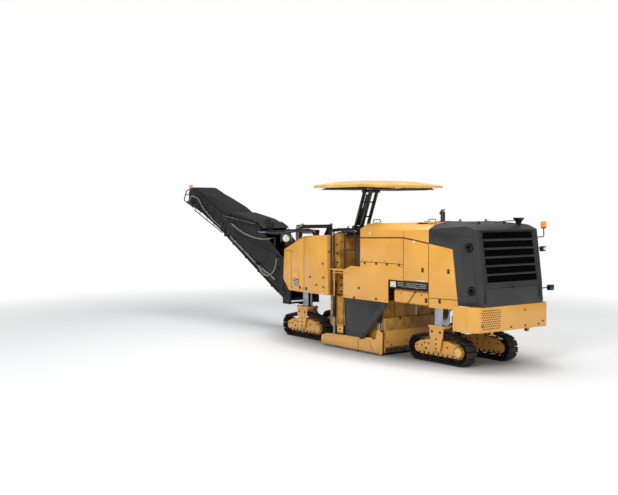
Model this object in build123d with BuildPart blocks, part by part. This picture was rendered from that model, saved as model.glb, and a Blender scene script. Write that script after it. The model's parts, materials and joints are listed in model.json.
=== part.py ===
"""Cold planer milling machine with a folding front loading conveyor.

Frame: millimetres, +X forward (conveyor end), +Y to the left, +Z up, ground at Z = 0.
The origin lies below the middle of the overall length. Lengths along the machine are
taken from four datums: the rear leg axis, the front leg axis, the drum axis and the slew axis.
"""

from build123d import *
from math import atan2, cos, degrees, hypot, pi, radians, sin, tan
import os

seat_gap = 0.3

# ---- Datums along the machine ------------------------------------------------------
rear_leg_x = -5465
wheelbase = 5120
front_leg_x = rear_leg_x + wheelbase
drum_x = rear_leg_x + 2550
slew_x = front_leg_x + 1200

# ---- Running gear -----------------------------------------------------------------
leg_y = 680
track_half = 950
track_height = 690
track_end_radius = 300
track_crown_half = 260
track_crown_radius = 220
shoe_width = 300
shoe_height = 42
shoe_share = 0.86
shoe_count = 27
link_height = 58
wheel_gap = 0.3
frame_inset = 36
roller_radius = 66
roller_count = 4
roller_pitch = 240
hub_radius = 130
yoke_plate = 26
yoke_gap = 8
yoke_top_width = 430
yoke_foot_width = 240
yoke_foot_z = 270
yoke_shoulder_z = 640
flange_z = 860
flange_thick = 60
flange_width = 500
column_radius = {"rear": 190, "front": 125}
column_length = 1090
column_fit = 0.5
sleeve_z = 1300
sleeve_wall = 42
sleeve_length = 1100

# ---- Chassis ----------------------------------------------------------------------
body_half = 1245
skin = 10
panel_gap = 4
rail_y = 450
rail_width = 90
rail_low = 1320
rail_high = 1520
rail_front_x = front_leg_x + 500

bumper_rear_x = rear_leg_x - 1530
bumper_front_x = rear_leg_x - 885
bumper_low = 860
bumper_high = 1400
bumper_corner_x = 180
bumper_corner_y = 150
bumper_wall = 20
bumper_flange = 260
wing_flange = 70
rail_rear_x = bumper_rear_x + bumper_flange + seat_gap
tie_x = bumper_rear_x + 150
tie_y = 600
tie_z = 810
tie_thick = 40
tie_radius = 32

hood_front_x = drum_x - 330
crease_x = rear_leg_x + 680
shroud_x = rear_leg_x - 80
shroud_foot_x = rear_leg_x - 880
shoulder_x = rear_leg_x - 720
shoulder_z = 2620
roof_break_x = rear_leg_x - 400
roof_rear_x = rear_leg_x - 1000
recess_front_x = rear_leg_x + 1200
deck_low_x = drum_x + 300
deck_step_x = drum_x + 30
front_rear_x = front_leg_x - 1640
side_low = 1300
recess_low = 1650
recess_high = 1850
deck_z = 2000
deck_thick = 30
roof_z = 3220
seam_front_z = 2800
seam_crease_z = 2840
seam_shroud_z = 2730
rear_half = 950
grille_half = 860
grille_low = (rear_leg_x - 1500, 1870)
grille_high = (rear_leg_x - 1310, 3050)
slat_count = 6
tank_inner_y = body_half - 285
tank_outer_y = body_half - 65
tank_round = 70
engine_gap = 18
engine_half = leg_y - column_radius["rear"] - sleeve_wall - engine_gap
exhaust_x = rear_leg_x + 70
exhaust_y = 600
exhaust_radius = 52
front_split_y = 620

# ---- Milling gear -----------------------------------------------------------------
drum_z = 600
drum_radius = 425
drum_tip_radius = 505
cutting_width = 2010
holder_rows = 22
holder_width = 44
holder_lead = 32
housing_half = body_half - 185
housing_wall = 20
housing_front_x = drum_x + 1070
housing_rear_x = drum_x - 990
housing_low = 370
housing_high = side_low - seat_gap
throat_half = 430
throat_high = 1230
side_plate_y = housing_half + 98
side_plate_thick = 34
side_rod_y = housing_half + 45
side_rod_radius = 25
side_rod_fit = 0.5
side_barrel_radius = 46
side_cylinder_x = (drum_x - 890, drum_x + 850)
cover_y = body_half - 40
cover_thick = 15
moldboard_plate = 30
moldboard_rib = 55
moldboard_half = housing_half + 10

# ---- Primary conveyor ---------------------------------------------------------------
primary_foot = (drum_x + 1150, 820)
primary_head = (front_leg_x + 580, 1861)
primary_half = throat_half
primary_side = 380
primary_seat_share = 0.56

# ---- Loading conveyor -------------------------------------------------------------
front_tie_x = rail_front_x + 202
front_tie_y = 525
front_tie_z = 1245
mount_front_x = rail_front_x + 160
boom_pin_x = slew_x + 120
boom_pin_z = 1120
boom_pin_radius = 40
boom_angle = 29.0
boom_half = 455
boom_wall = 12
knee_s = 3640
boom_low = -221
boom_tail = -120
boom_end_top = 449
boom_peak = (knee_s - 1436, 985)
hopper_top = (450, 756)
rib_count = 4
rib_width = 34
rib_height = 12
knee_radius = 30
nose_angle = 25.0
nose_half = 425
nose_length = 2650
nose_wall_top = 515
nose_tip_top = 440
tail_pulley = (230, 200)
head_pulley = (2395, 15)
pulley_radius = 140
belt_width = 780
belt_thick = 14
yoke_y = 475
yoke_thick = 30
lift_base = (slew_x - 20, 2840)
lift_s = knee_s - 1665
lift_h = 860
lift_y = 570
lift_barrel_radius = 50
lift_barrel_length = 930
lift_rod_radius = 32
lift_pin_radius = 30
lift_eye_bore = 52
slew_pin_radius = 40
hose_radius = 18
hose_y = 530
hose_socket = 60
hose_post_low = 2300

# ---- Canopy -----------------------------------------------------------------------
canopy_x = front_leg_x - 2135
canopy_length = 1830
canopy_half = 1400
canopy_z = 4040
canopy_edge = 30
canopy_crown = 75
arm_foot = (front_leg_x - 1350, 3020)
arm_head = (front_leg_x - 1730, 3960)
arm_spacing = 230
arm_y = 110
arm_width = 70


def side_profile(points, y_low, y_high, mode=Mode.ADD, corner=0):
    """Plate with its outline in the X-Z plane, between two Y values."""
    with BuildSketch(Plane.XZ.offset(-y_high)) as profile:
        with BuildLine():
            Polyline(*points, close=True)
        make_face()
        if corner:
            fillet(profile.vertices(), corner)
    extrude(profile.sketch, amount=y_high - y_low, mode=mode)


def plan_profile(points, z_low, z_high, mode=Mode.ADD, corner=0):
    """Plate with its outline in the X-Y plane, between two Z values."""
    with BuildSketch(Plane.XY.offset(z_low)) as profile:
        with BuildLine():
            Polyline(*points, close=True)
        make_face()
        if corner:
            fillet(profile.vertices(), corner)
    extrude(profile.sketch, amount=z_high - z_low, mode=mode)


def cross_profile(points, x_low, x_high, mode=Mode.ADD, corner=0):
    """Plate with its outline in the Y-Z plane, between two X values."""
    with BuildSketch(Plane.YZ.offset(x_low)) as profile:
        with BuildLine():
            Polyline(*points, close=True)
        make_face()
        if corner:
            fillet(profile.vertices(), corner)
    extrude(profile.sketch, amount=x_high - x_low, mode=mode)


def block(x, y, z, mode=Mode.ADD):
    """Rectangular block given by its (low, high) ranges."""
    plan_profile([(x[0], y[0]), (x[1], y[0]), (x[1], y[1]), (x[0], y[1])], z[0], z[1], mode)


def rod(start, end, radius, mode=Mode.ADD):
    """Round bar between two points."""
    axis = Vector(*end) - Vector(*start)
    with BuildSketch(Plane(origin=start, z_dir=axis)) as section:
        Circle(radius)
    extrude(section.sketch, amount=axis.length, mode=mode)


def cross_rod(x, z, radius, y_low, y_high, mode=Mode.ADD):
    """Round bar along Y."""
    rod((x, y_low, z), (x, y_high, z), radius, mode)


def rail(points, radius, sides=6):
    """Tube along straight runs with mitred corners."""
    with BuildLine() as route:
        Polyline(*points)
    with BuildSketch(Plane(origin=points[0], z_dir=Vector(*points[1]) - Vector(*points[0]))) as ring:
        RegularPolygon(radius, sides)
    sweep(ring.sketch, path=route.line, transition=Transition.RIGHT)


def cut_corners(points, cut):
    """Route with each inner corner replaced by a short diagonal run."""
    spots = [Vector(*point) for point in points]
    route = [spots[0]]
    for before, corner, after in zip(spots, spots[1:], spots[2:]):
        route += [corner + (before - corner).normalized() * cut,
                  corner + (after - corner).normalized() * cut]
    return [tuple(spot) for spot in route + [spots[-1]]]


def hose(points, radius):
    """Hose whose straight runs meet in arcs as large as the runs allow; prints its tightest bend."""
    spots = [Vector(*point) for point in points]
    bends = []
    with BuildLine() as route:
        start = spots[0]
        for before, corner, after in zip(spots, spots[1:], spots[2:]):
            arrive = (corner - before).normalized()
            leave = (after - corner).normalized()
            trim = 0.45 * min((corner - before).length, (after - corner).length)
            Line(start, corner - arrive * trim)
            TangentArc(corner - arrive * trim, corner + leave * trim, tangent=arrive)
            bends.append(trim / tan(arrive.get_angle(leave) * pi / 360))
            start = corner + leave * trim
        Line(start, spots[-1])
    with BuildSketch(Plane(origin=spots[0], z_dir=spots[1] - spots[0])) as ring:
        RegularPolygon(radius, 8)
    sweep(ring.sketch, path=route.line)
    print("hose bends, millimetres", [round(bend) for bend in bends])


def span(side, near, far):
    """Y range from the inner to the outer value on one side of the machine."""
    return sorted((side * near, side * far))


def along(origin, angle, s, h):
    """Point at distance s along a sloping line and h above it."""
    a = radians(angle)
    return (origin[0] + s * cos(a) - h * sin(a), origin[1] + s * sin(a) + h * cos(a))


boom_pin = (boom_pin_x, boom_pin_z)
lift_eye = along(boom_pin, boom_angle, lift_s, lift_h)
knee = along(boom_pin, boom_angle, knee_s + 6, boom_low)


def hung(points):
    """Hose route from (distance ahead of the slew axis, height) pairs."""
    return [(slew_x + ahead, hose_y, height) for ahead, height in points]


upper_hose = hung([(2934, 3057), (2630, 2905), (2230, 2765), (1780, 2665), (1380, 2620), (1030, 2615),
                   (760, 2650)])
lower_hose = hung([(500, 2090), (510, 1910), (600, 1740), (750, 1610), (950, 1545), (1160, 1580),
                   (1330, 1690),
                   (1470, 1840)])


def heading(points):
    """Direction in which a hose leaves its first point."""
    return tuple(Vector(*points[1]) - Vector(*points[0]))


hose_ends = [(route[0], heading(route)) for hung_hose in (upper_hose, lower_hose)
             for route in (hung_hose, hung_hose[::-1])]


def finish(builder, name):
    """Label a finished piece and write its STEP file."""
    builder.part.label = name
    export_step(builder.part, f"parts/{name}.step")


# ---- Tracks -----------------------------------------------------------------------
def track_outline(inset):
    """Loop around the wheels, drawn about the leg axis, shrunk by the inset."""
    with BuildSketch() as loop:
        ends = track_half - track_end_radius
        with Locations((-ends, track_end_radius), (ends, track_end_radius)):
            Circle(track_end_radius - inset)
        crown_z = track_height - track_crown_radius
        with Locations((-track_crown_half, crown_z), (track_crown_half, crown_z)):
            Circle(track_crown_radius - inset)
        make_hull()
    return loop.sketch


def chain_outline():
    """Chain ring with a thick pad for every shoe."""
    with BuildSketch() as chain:
        add(track_outline(shoe_height))
        wire = chain.sketch.faces()[0].outer_wire()
        pitch = wire.length / shoe_count
        for shoe in range(shoe_count):
            place = wire.position_at((shoe + 0.5) / shoe_count)
            heading = wire.tangent_at((shoe + 0.5) / shoe_count)
            turn = degrees(atan2(heading.Y, heading.X))
            with Locations(Location((place.X, place.Y, 0), (0, 0, turn))):
                Rectangle(pitch * shoe_share, 2 * shoe_height)
        add(track_outline(shoe_height + link_height), mode=Mode.SUBTRACT)
    return chain.sketch


def make_track_chain(name, x, y):
    with BuildPart() as track_chain:
        plane = Plane(origin=(x, y + shoe_width / 2, 0), x_dir=(1, 0, 0), z_dir=(0, -1, 0))
        extrude(plane * chain_outline(), amount=shoe_width)
    finish(track_chain, f"track_chain_{name}")


def make_track_frame(name, x, y, side):
    """Roller frame with wheels, final drive and the yoke that straddles the chain."""
    inner = shoe_height + link_height
    wheel = track_end_radius - inner - wheel_gap
    ends = track_half - track_end_radius
    low, high = y - 105, y + 105
    with BuildPart() as track_frame:
        plane = Plane(origin=(x, high, 0), x_dir=(1, 0, 0), z_dir=(0, -1, 0))
        extrude(plane * track_outline(inner + frame_inset), amount=high - low)
        for end in (-ends, ends):
            cross_rod(x + end, track_end_radius, wheel, y - 60, y + 60)
        for roller in range(roller_count):
            roller_x = x + (roller - (roller_count - 1) / 2) * roller_pitch
            with BuildSketch(Plane.XZ.offset(-y - 75)) as roller_face:
                with Locations((roller_x, inner + roller_radius + wheel_gap)):
                    RegularPolygon(roller_radius, 12, rotation=15)
            extrude(roller_face.sketch, amount=150)
        outer = shoe_width / 2
        hub_y = sorted((y, y + side * (outer + 20)))
        cross_rod(x - ends, track_end_radius, hub_radius, *hub_y)
        plate_y = outer + yoke_gap
        foot, top = yoke_foot_width / 2, yoke_top_width / 2
        under = flange_z - flange_thick
        yoke_outline = [(x - foot, yoke_foot_z), (x + foot, yoke_foot_z), (x + top, yoke_shoulder_z),
                        (x + top, under), (x - top, under), (x - top, yoke_shoulder_z)]
        side_profile(yoke_outline, y - plate_y - yoke_plate, y - plate_y)
        side_profile(yoke_outline, y + plate_y, y + plate_y + yoke_plate)
        half = flange_width / 2
        block((x - half, x + half), (y - plate_y - yoke_plate, y + plate_y + yoke_plate), (under, flange_z))
        cross_rod(x, track_end_radius + 40, 60, y - plate_y, y + plate_y)
    finish(track_frame, f"track_frame_{name}")


def make_leg_column(name, x, y, radius):
    with BuildPart() as leg_column:
        rod((x, y, flange_z), (x, y, flange_z + column_length), radius)
    finish(leg_column, f"leg_column_{name}")


# ---- Chassis ----------------------------------------------------------------------
legs = [
    # name, x, side, which end
    ("rear_left", rear_leg_x, 1, "rear"),
    ("rear_right", rear_leg_x, -1, "rear"),
    ("front_left", front_leg_x, 1, "front"),
    ("front_right", front_leg_x, -1, "front"),
]


def make_main_frame():
    with BuildPart() as main_frame:
        for side in (1, -1):
            block((rail_rear_x, rail_front_x), span(side, rail_y, rail_y + rail_width),
                  (rail_low, rail_high))
        for x in (rail_rear_x, drum_x - 1350, rail_front_x - 100):
            block((x, x + 100), (-rail_y, rail_y), (rail_low, rail_high))
        for name, x, side, end in legs:
            y = side * leg_y
            outer = column_radius[end] + sleeve_wall
            rod((x, y, sleeve_z), (x, y, sleeve_z + sleeve_length), outer)
        for name, x, side, end in legs:
            y = side * leg_y
            bore = column_radius[end] + column_fit
            rod((x, y, sleeve_z), (x, y, sleeve_z + sleeve_length), bore, Mode.SUBTRACT)
    finish(main_frame, "main_frame")


def body_envelope(inset):
    """Outer form of the engine body: side, plan and cross profiles intersected."""
    top = roof_z - inset
    with BuildPart() as envelope:
        side_profile([(hood_front_x - inset, side_low), (hood_front_x - inset, top - 75),
                      (roof_break_x, top),
                      (roof_rear_x, top - 60), (grille_high[0] + inset, grille_high[1] - inset),
                      (grille_low[0] + inset, grille_low[1]), (bumper_rear_x + inset, bumper_high),
                      (bumper_rear_x + inset, side_low)],
                     -body_half, body_half)
        half = body_half - inset
        front = hood_front_x + 1000
        plan = [(front, half), (crease_x, half), (shroud_x, half - 60),
                (bumper_rear_x - 100, rear_half - inset)]
        plan_profile(plan + [(x, -y) for x, y in reversed(plan)], 0, roof_z + 10, Mode.INTERSECT)
        cross = [(half, 0), (half, 3010 - inset), (half - 245, 3150 - inset), (half - 645, top)]
        cross_profile(cross + [(-y, z) for y, z in reversed(cross)], bumper_rear_x - 200, front,
                      Mode.INTERSECT)
    return envelope.part


def body_shell(region):
    """Skin of the engine body inside a side-view region."""
    with BuildPart() as shell:
        add(body_envelope(0))
        add(body_envelope(skin), mode=Mode.SUBTRACT)
        side_profile(region, -body_half - 5, body_half + 5, Mode.INTERSECT)
    return shell.part


def knuckles(start, end, radius, spans, mode=Mode.ADD):
    """Hinge barrels along a line, at the given (from, to) distances."""
    unit = (Vector(*end) - Vector(*start)).normalized()
    for low, high in spans:
        rod(tuple(Vector(*start) + unit * low), tuple(Vector(*start) + unit * high), radius, mode)


hood_hinge_half = body_half - 245
hood_hinge = [(hood_front_x + 8, -hood_hinge_half, seam_front_z),
              (hood_front_x + 8, hood_hinge_half, seam_front_z)]
hood_knuckles = [(200, 300), (2 * hood_hinge_half - 300, 2 * hood_hinge_half - 200)]
side_knuckles = [(300 + seat_gap, 400), (2 * hood_hinge_half - 400, 2 * hood_hinge_half - 300 - seat_gap)]
grille_hinge = [(grille_low[0] - 2, -grille_half, grille_low[1]),
                (grille_high[0] - 2, -grille_half, grille_high[1])]
grille_knuckles = [(150, 250), (900, 1000)]
shroud_knuckles = [(50, 150 - seat_gap), (1000 + seat_gap, 1100)]
hinge_radius = 12
hinge_relief = 14.5


def make_engine_body():
    gap = panel_gap / 2
    high = roof_z + 50
    with BuildPart() as engine_hood:
        add(body_shell([(hood_front_x + 5, seam_front_z + gap), (crease_x, seam_crease_z + gap),
                        (shroud_x + gap, seam_shroud_z + gap), (shroud_x + gap, high),
                        (hood_front_x + 5, high)]))
        knuckles(*hood_hinge, hinge_relief, side_knuckles, Mode.SUBTRACT)
        knuckles(*hood_hinge, hinge_radius, hood_knuckles)
    finish(engine_hood, "engine_hood")
    with BuildPart() as engine_sides:
        region = [(hood_front_x + 5, seam_front_z - gap), (crease_x, seam_crease_z - gap),
                  (shroud_x, seam_shroud_z - gap), (shoulder_x + gap, shoulder_z - gap),
                  (shroud_foot_x + gap, side_low), (shroud_x, side_low), (shroud_x, recess_high),
                  (recess_front_x, recess_high), (recess_front_x, side_low), (hood_front_x + 5, side_low)]
        add(body_shell(region))
        inside = body_half - skin
        for side in (1, -1):
            side_profile([(hood_front_x, side_low), (deck_low_x, side_low), (deck_low_x, deck_z - 10),
                          (deck_step_x, deck_z + 100), (hood_front_x, deck_z + 100)],
                         *span(side, inside, body_half))
        block((hood_front_x - 50, hood_front_x + 50), (-inside, inside), (side_low, rail_high + seat_gap),
              Mode.SUBTRACT)
        knuckles(*hood_hinge, hinge_relief, hood_knuckles, Mode.SUBTRACT)
        knuckles(*hood_hinge, hinge_radius, side_knuckles)
    finish(engine_sides, "engine_sides")
    with BuildPart() as rear_shroud:
        foot_z = bumper_high + seat_gap
        add(body_shell([(shroud_x - gap, seam_shroud_z + gap), (shroud_x - gap, high),
                        (bumper_rear_x - 50, high),
                        (bumper_rear_x - 50, foot_z), (shroud_foot_x - gap, foot_z),
                        (shoulder_x - gap, shoulder_z + gap)]))
        side_profile([(grille_low[0] - 80, grille_low[1]), (grille_high[0] - 80, grille_high[1] - 30),
                      (grille_high[0] + 120, grille_high[1] - 30), (grille_low[0] + 120, grille_low[1])],
                     -grille_half, grille_half, Mode.SUBTRACT)
        knuckles(*grille_hinge, hinge_radius, shroud_knuckles)
        knuckles(*grille_hinge, hinge_relief, grille_knuckles, Mode.SUBTRACT)
    finish(rear_shroud, "rear_shroud")
    with BuildPart() as radiator_grille:
        side_profile([(grille_low[0], grille_low[1] + 6), (grille_high[0] - 3, grille_high[1] - 40),
                      (grille_high[0] + 37, grille_high[1] - 40), (grille_low[0] + 40, grille_low[1] + 6)],
                     -grille_half + 8, grille_half - 8)
        pitch = (grille_high[1] - grille_low[1] - 60) / slat_count
        for slot in range(slat_count):
            z = grille_low[1] + 30 + slot * pitch
            block((bumper_rear_x, grille_low[0] + 400), (-grille_half + 50, grille_half - 50),
                  (z + 20, z + pitch - 20), Mode.SUBTRACT)
        knuckles(*grille_hinge, hinge_relief, shroud_knuckles, Mode.SUBTRACT)
        knuckles(*grille_hinge, hinge_radius, grille_knuckles)
    finish(radiator_grille, "radiator_grille")
    with BuildPart() as side_tanks:
        for side in (1, -1):
            inner, outer = span(side, tank_inner_y, tank_outer_y)
            low, top = side_low + 20, recess_low
            cross_profile([(inner, low), (outer, low), (outer, top), (inner, top)],
                          shroud_x, recess_front_x - 150, corner=tank_round)
            block((shroud_x, recess_front_x - 150), span(side, tank_outer_y - 80, tank_outer_y),
                  (recess_low - 5, recess_high - seat_gap))
    finish(side_tanks, "side_tanks")
    with BuildPart() as engine_block:
        rear, front = rear_leg_x - 600, rear_leg_x + 1100
        block((rear, front), (-engine_half, engine_half), (rail_high + seat_gap, 2500))
        for x in (rear, front - 200):
            block((x, x + 200), (-rail_y - rail_width, rail_y + rail_width), (rail_high + seat_gap, 1640))
    finish(engine_block, "engine_block")
    with BuildPart() as exhaust_stack:
        rod((exhaust_x, exhaust_y, roof_z - 11), (exhaust_x, exhaust_y, roof_z + 225), exhaust_radius)
        rod((exhaust_x, exhaust_y, roof_z + 30), (exhaust_x, exhaust_y, roof_z + 225), exhaust_radius - 5,
            Mode.SUBTRACT)
    finish(exhaust_stack, "exhaust_stack")


def bumper_plan(inset, flange):
    """Half plan of the bumper band, rear and side walls moved inwards."""
    lean = inset * 0.4
    return [(bumper_front_x + 1, body_half - flange), (bumper_rear_x + bumper_corner_x + lean,
                                                       body_half - flange),
            (bumper_rear_x + inset, body_half - bumper_corner_y - lean - flange + bumper_wall)]


def make_rear_bumper():
    with BuildPart() as rear_bumper:
        plan = [(bumper_front_x, body_half), (bumper_rear_x + bumper_corner_x, body_half),
                (bumper_rear_x, body_half - bumper_corner_y)]
        plan_profile(plan + [(x, -y) for x, y in reversed(plan)], bumper_low, bumper_high)
        hollow = bumper_plan(bumper_wall, bumper_wall)
        plan_profile(hollow + [(x, -y) for x, y in reversed(hollow)],
                     bumper_low + bumper_wall, bumper_high - bumper_wall, Mode.SUBTRACT)
        opening = bumper_plan(bumper_flange, wing_flange)
        plan_profile(opening + [(x, -y) for x, y in reversed(opening)], bumper_low, bumper_high,
                     Mode.SUBTRACT)
        block((rail_rear_x - seat_gap, rail_rear_x), (-body_half - 5, body_half + 5),
              (bumper_low - 5, bumper_high + 5), Mode.SUBTRACT)
        for side in (1, -1):
            block((bumper_rear_x + bumper_wall, bumper_rear_x + bumper_flange), span(side, 480, 510),
                  (bumper_low + bumper_wall, bumper_high - bumper_wall))
            y = side * tie_y
            side_profile([(tie_x - 90, bumper_low + 1), (tie_x - 45, tie_z - 45), (tie_x + 45, tie_z - 45),
                          (tie_x + 90, bumper_low + 1)], y - tie_thick / 2, y + tie_thick / 2)
            cross_rod(tie_x, tie_z, tie_radius, y - tie_thick, y + tie_thick, Mode.SUBTRACT)
    finish(rear_bumper, "rear_bumper")


def front_outline(inset):
    """Side view of the front body, its skin moved inwards."""
    x = front_leg_x
    return [(x + 70 - inset * 1.2, 1320 - 4 * inset), (x + 340 - inset, 1620),
            (x + 290 - inset, 2410 - inset),
            (x - 600, 2790 - inset), (x - 1570, 2840 - inset), (front_rear_x + inset, 1300 - 2 * inset)]


def make_front_body():
    with BuildPart() as front_covers:
        for side in (1, -1):
            side_profile(front_outline(0), *span(side, front_split_y, body_half))
            side_profile(front_outline(skin), *span(side, front_split_y - 20, body_half - skin),
                         Mode.SUBTRACT)
            side_profile([(front_leg_x - 30, 1480), (front_leg_x + 190, 1480), (front_leg_x + 190, 1640),
                          (front_leg_x - 30, 1640)], *span(side, body_half - 20, body_half + 10),
                         Mode.SUBTRACT, 25)
    finish(front_covers, "front_covers")
    with BuildPart() as front_hood:
        half = front_split_y - seat_gap
        side_profile(front_outline(0), -half, half)
        side_profile(front_outline(skin), -half, half, Mode.SUBTRACT)
        block((front_rear_x - 80, front_leg_x + 580), (-half, half), (1200, 2390), Mode.SUBTRACT)
        for x in (arm_foot[0], arm_foot[0] - arm_spacing):
            for side in (1, -1):
                side_profile([(x - 90, 2820), (x + 90, 2800), (x + 50, 3060), (x - 50, 3060)],
                             *span(side, arm_y + 40 + seat_gap, arm_y + 70))
    finish(front_hood, "front_hood")


def make_operator_place():
    inside = body_half - skin - seat_gap
    tread_x = (deck_low_x + 40, deck_low_x + 420)
    with BuildPart() as operator_deck:
        block((hood_front_x + seat_gap, front_rear_x - seat_gap), (-inside, inside),
              (deck_z - deck_thick, deck_z))
        for side in (1, -1):
            outer = body_half - 15
            for x in tread_x:
                block((x - 10, x + 10), span(side, outer - 30, outer), (side_low, deck_z - deck_thick))
            for z in (1420, 1590, 1760):
                y = side * (outer - 15)
                rail(cut_corners([(tread_x[0], y, z), (tread_x[0], y - side * 150, z),
                                  (tread_x[1], y - side * 150, z), (tread_x[1], y, z)], 50), 15)
            block(tread_x, span(side, outer - 220, outer), (deck_z - deck_thick - 8, deck_z - deck_thick))
    finish(operator_deck, "operator_deck")
    with BuildPart() as operator_stations:
        foot = deck_z + seat_gap
        console_x = deck_low_x + 360
        seat_x = deck_step_x - 140
        for side in (1, -1):
            side_profile([(console_x, foot), (console_x + 220, foot), (console_x + 220, 2860),
                          (console_x + 150, 2900),
                          (console_x - 60, 2780), (console_x - 60, 2700), (console_x, 2660)],
                         *span(side, 350, 1100))
            side_profile([(seat_x - 60, foot), (seat_x + 140, foot), (seat_x + 160, 2340),
                          (seat_x + 240, 2350),
                          (seat_x + 240, 2430), (seat_x - 40, 2420), (seat_x - 90, 2700),
                          (seat_x - 170, 2700),
                          (seat_x - 130, 2340)], *span(side, 550, 950))
    finish(operator_stations, "operator_stations")
    with BuildPart() as handrails:
        for side in (1, -1):
            y = side * (body_half - 40)
            foot = deck_z + seat_gap
            for rear_x, front_x in ((deck_step_x - 130, deck_low_x + 10),
                                    (front_rear_x - 180, front_rear_x - 70)):
                rail(cut_corners([(rear_x, y, foot), (rear_x, y, 2950), (front_x, y, 2950),
                                  (front_x, y, foot)], 40),
                     20, 8)
    finish(handrails, "handrails")


# ---- Milling gear -----------------------------------------------------------------
def make_drum_housing():
    with BuildPart() as drum_housing:
        y = housing_half
        wall = housing_wall
        block((housing_rear_x, housing_front_x), (-y, y), (housing_low, housing_high))
        block((housing_rear_x - 10, housing_front_x - wall), (-y + wall, y - wall),
              (housing_low - 10, housing_high - wall), Mode.SUBTRACT)
        block((housing_front_x - 50, housing_front_x + 10), (-throat_half, throat_half),
              (housing_low - 10, throat_high), Mode.SUBTRACT)
        side_profile([(housing_front_x - 260, housing_low - 10), (housing_front_x + 10, housing_low - 10),
                      (housing_front_x + 10, housing_low + 210)], -y - 5, y + 5, Mode.SUBTRACT)
        block((housing_rear_x, housing_front_x), (-rail_y - rail_width, rail_y + rail_width),
              (housing_high - 5, rail_low - seat_gap))
        for side in (1, -1):
            for x in side_cylinder_x:
                bore = side_rod_radius + side_rod_fit
                rod((x, side * side_rod_y, 760), (x, side * side_rod_y, 1700), side_barrel_radius)
                rod((x, side * side_rod_y, 760), (x, side * side_rod_y, 1690), bore, Mode.SUBTRACT)
    finish(drum_housing, "drum_housing")


def make_milling_drum():
    """Drum with tool holders set in two spirals that carry the cuttings to the middle."""
    with BuildPart() as milling_drum:
        cross_rod(drum_x, drum_z, drum_radius, -cutting_width / 2, cutting_width / 2)
        end = housing_half - housing_wall - seat_gap
        cross_rod(drum_x, drum_z, 120, -end, end)
        pitch = (cutting_width / 2 - holder_width) / (holder_rows - 1)
        for side in (1, -1):
            for row in range(holder_rows):
                y = side * (holder_width / 2 + row * pitch)
                turn = radians(row * holder_lead)
                place = Plane(origin=(drum_x, y + holder_width / 2, drum_z),
                              x_dir=(cos(turn), 0, sin(turn)), z_dir=(0, -1, 0))
                with BuildSketch(place) as holder:
                    with BuildLine():
                        Polyline((drum_radius - 15, -60), (drum_radius + 45, -42),
                                 (drum_tip_radius - 1, 18),
                                 (drum_radius + 30, 46), (drum_radius - 15, 70), close=True)
                    make_face()
                extrude(holder.sketch, amount=holder_width)
    finish(milling_drum, "milling_drum")


def make_side_plate(name, side):
    """Height-sensing skid that slides beside the drum on two guide rods."""
    rear, front = drum_x - 1080, drum_x + 1290
    with BuildPart() as side_plate:
        y = span(side, side_plate_y, side_plate_y + side_plate_thick)
        outline = [(rear + 10, 50), (rear + 80, 0), (front - 130, 0), (front - 20, 60), (front, 150),
                   (front - 20, 265), (front - 250, 330), (rear + 700, 370), (rear + 420, 400),
                   (rear + 330, 370), (rear + 250, 380), (rear + 170, 610), (rear, 610)]
        side_profile(outline, *y)
        block((rear + 120, front - 170), span(side, side_plate_y - 70, side_plate_y + 2), (0, 26))
        for x in (drum_x - 380, drum_x + 330):
            block((x - 12, x + 12), span(side, side_plate_y - 45, side_plate_y + 2), (20, 320))
        for x in side_cylinder_x:
            rod((x, side * side_rod_y, 240), (x, side * side_rod_y, 1200), side_rod_radius)
            block((x - 40, x + 40), span(side, side_rod_y - 20, side_plate_y + 2), (200, 260))
    finish(side_plate, f"side_plate_{name}")


def make_milling_gear():
    make_drum_housing()
    make_milling_drum()
    for name, side in (("left", 1), ("right", -1)):
        make_side_plate(name, side)
    with BuildPart() as moldboard:
        face = housing_rear_x - seat_gap
        back = face - moldboard_plate
        block((back, face), (-moldboard_half, moldboard_half), (60, 880))
        for z in (210, 520, 850):
            block((back - moldboard_rib, back), (-moldboard_half, moldboard_half), (z, z + 30))
        for y in (-960, -480, 0, 480, 960):
            side_profile([(back + 1, 215), (back - moldboard_rib, 240), (back - moldboard_rib, 850),
                          (back + 1, 850)],
                         y - 12, y + 12)
        block((back - 18, back), (-moldboard_half, moldboard_half), (60, 170))
    finish(moldboard, "moldboard")
    with BuildPart() as drum_side_covers:
        for side in (1, -1):
            outer = body_half - skin - seat_gap
            side_profile([(drum_x + 320, 1290), (drum_x + 320, 1400), (drum_x - 1230, 1400),
                          (drum_x - 1260, 1290),
                          (drum_x - 450, 370), (drum_x + 250, 380)],
                         *span(side, cover_y, cover_y + cover_thick))
            side_profile([(drum_x - 1110, 1400), (drum_x - 1230, 1400), (drum_x - 1260, 1290),
                          (drum_x - 1230, 1160),
                          (drum_x - 350, 330), (drum_x - 260, 370), (drum_x - 1110, 1250)],
                         *span(side, cover_y, outer))
            block((drum_x + 60, drum_x + 300), span(side, cover_y, outer), (side_low + 10, 1400))
    finish(drum_side_covers, "drum_side_covers")
    make_primary_conveyor()


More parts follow.
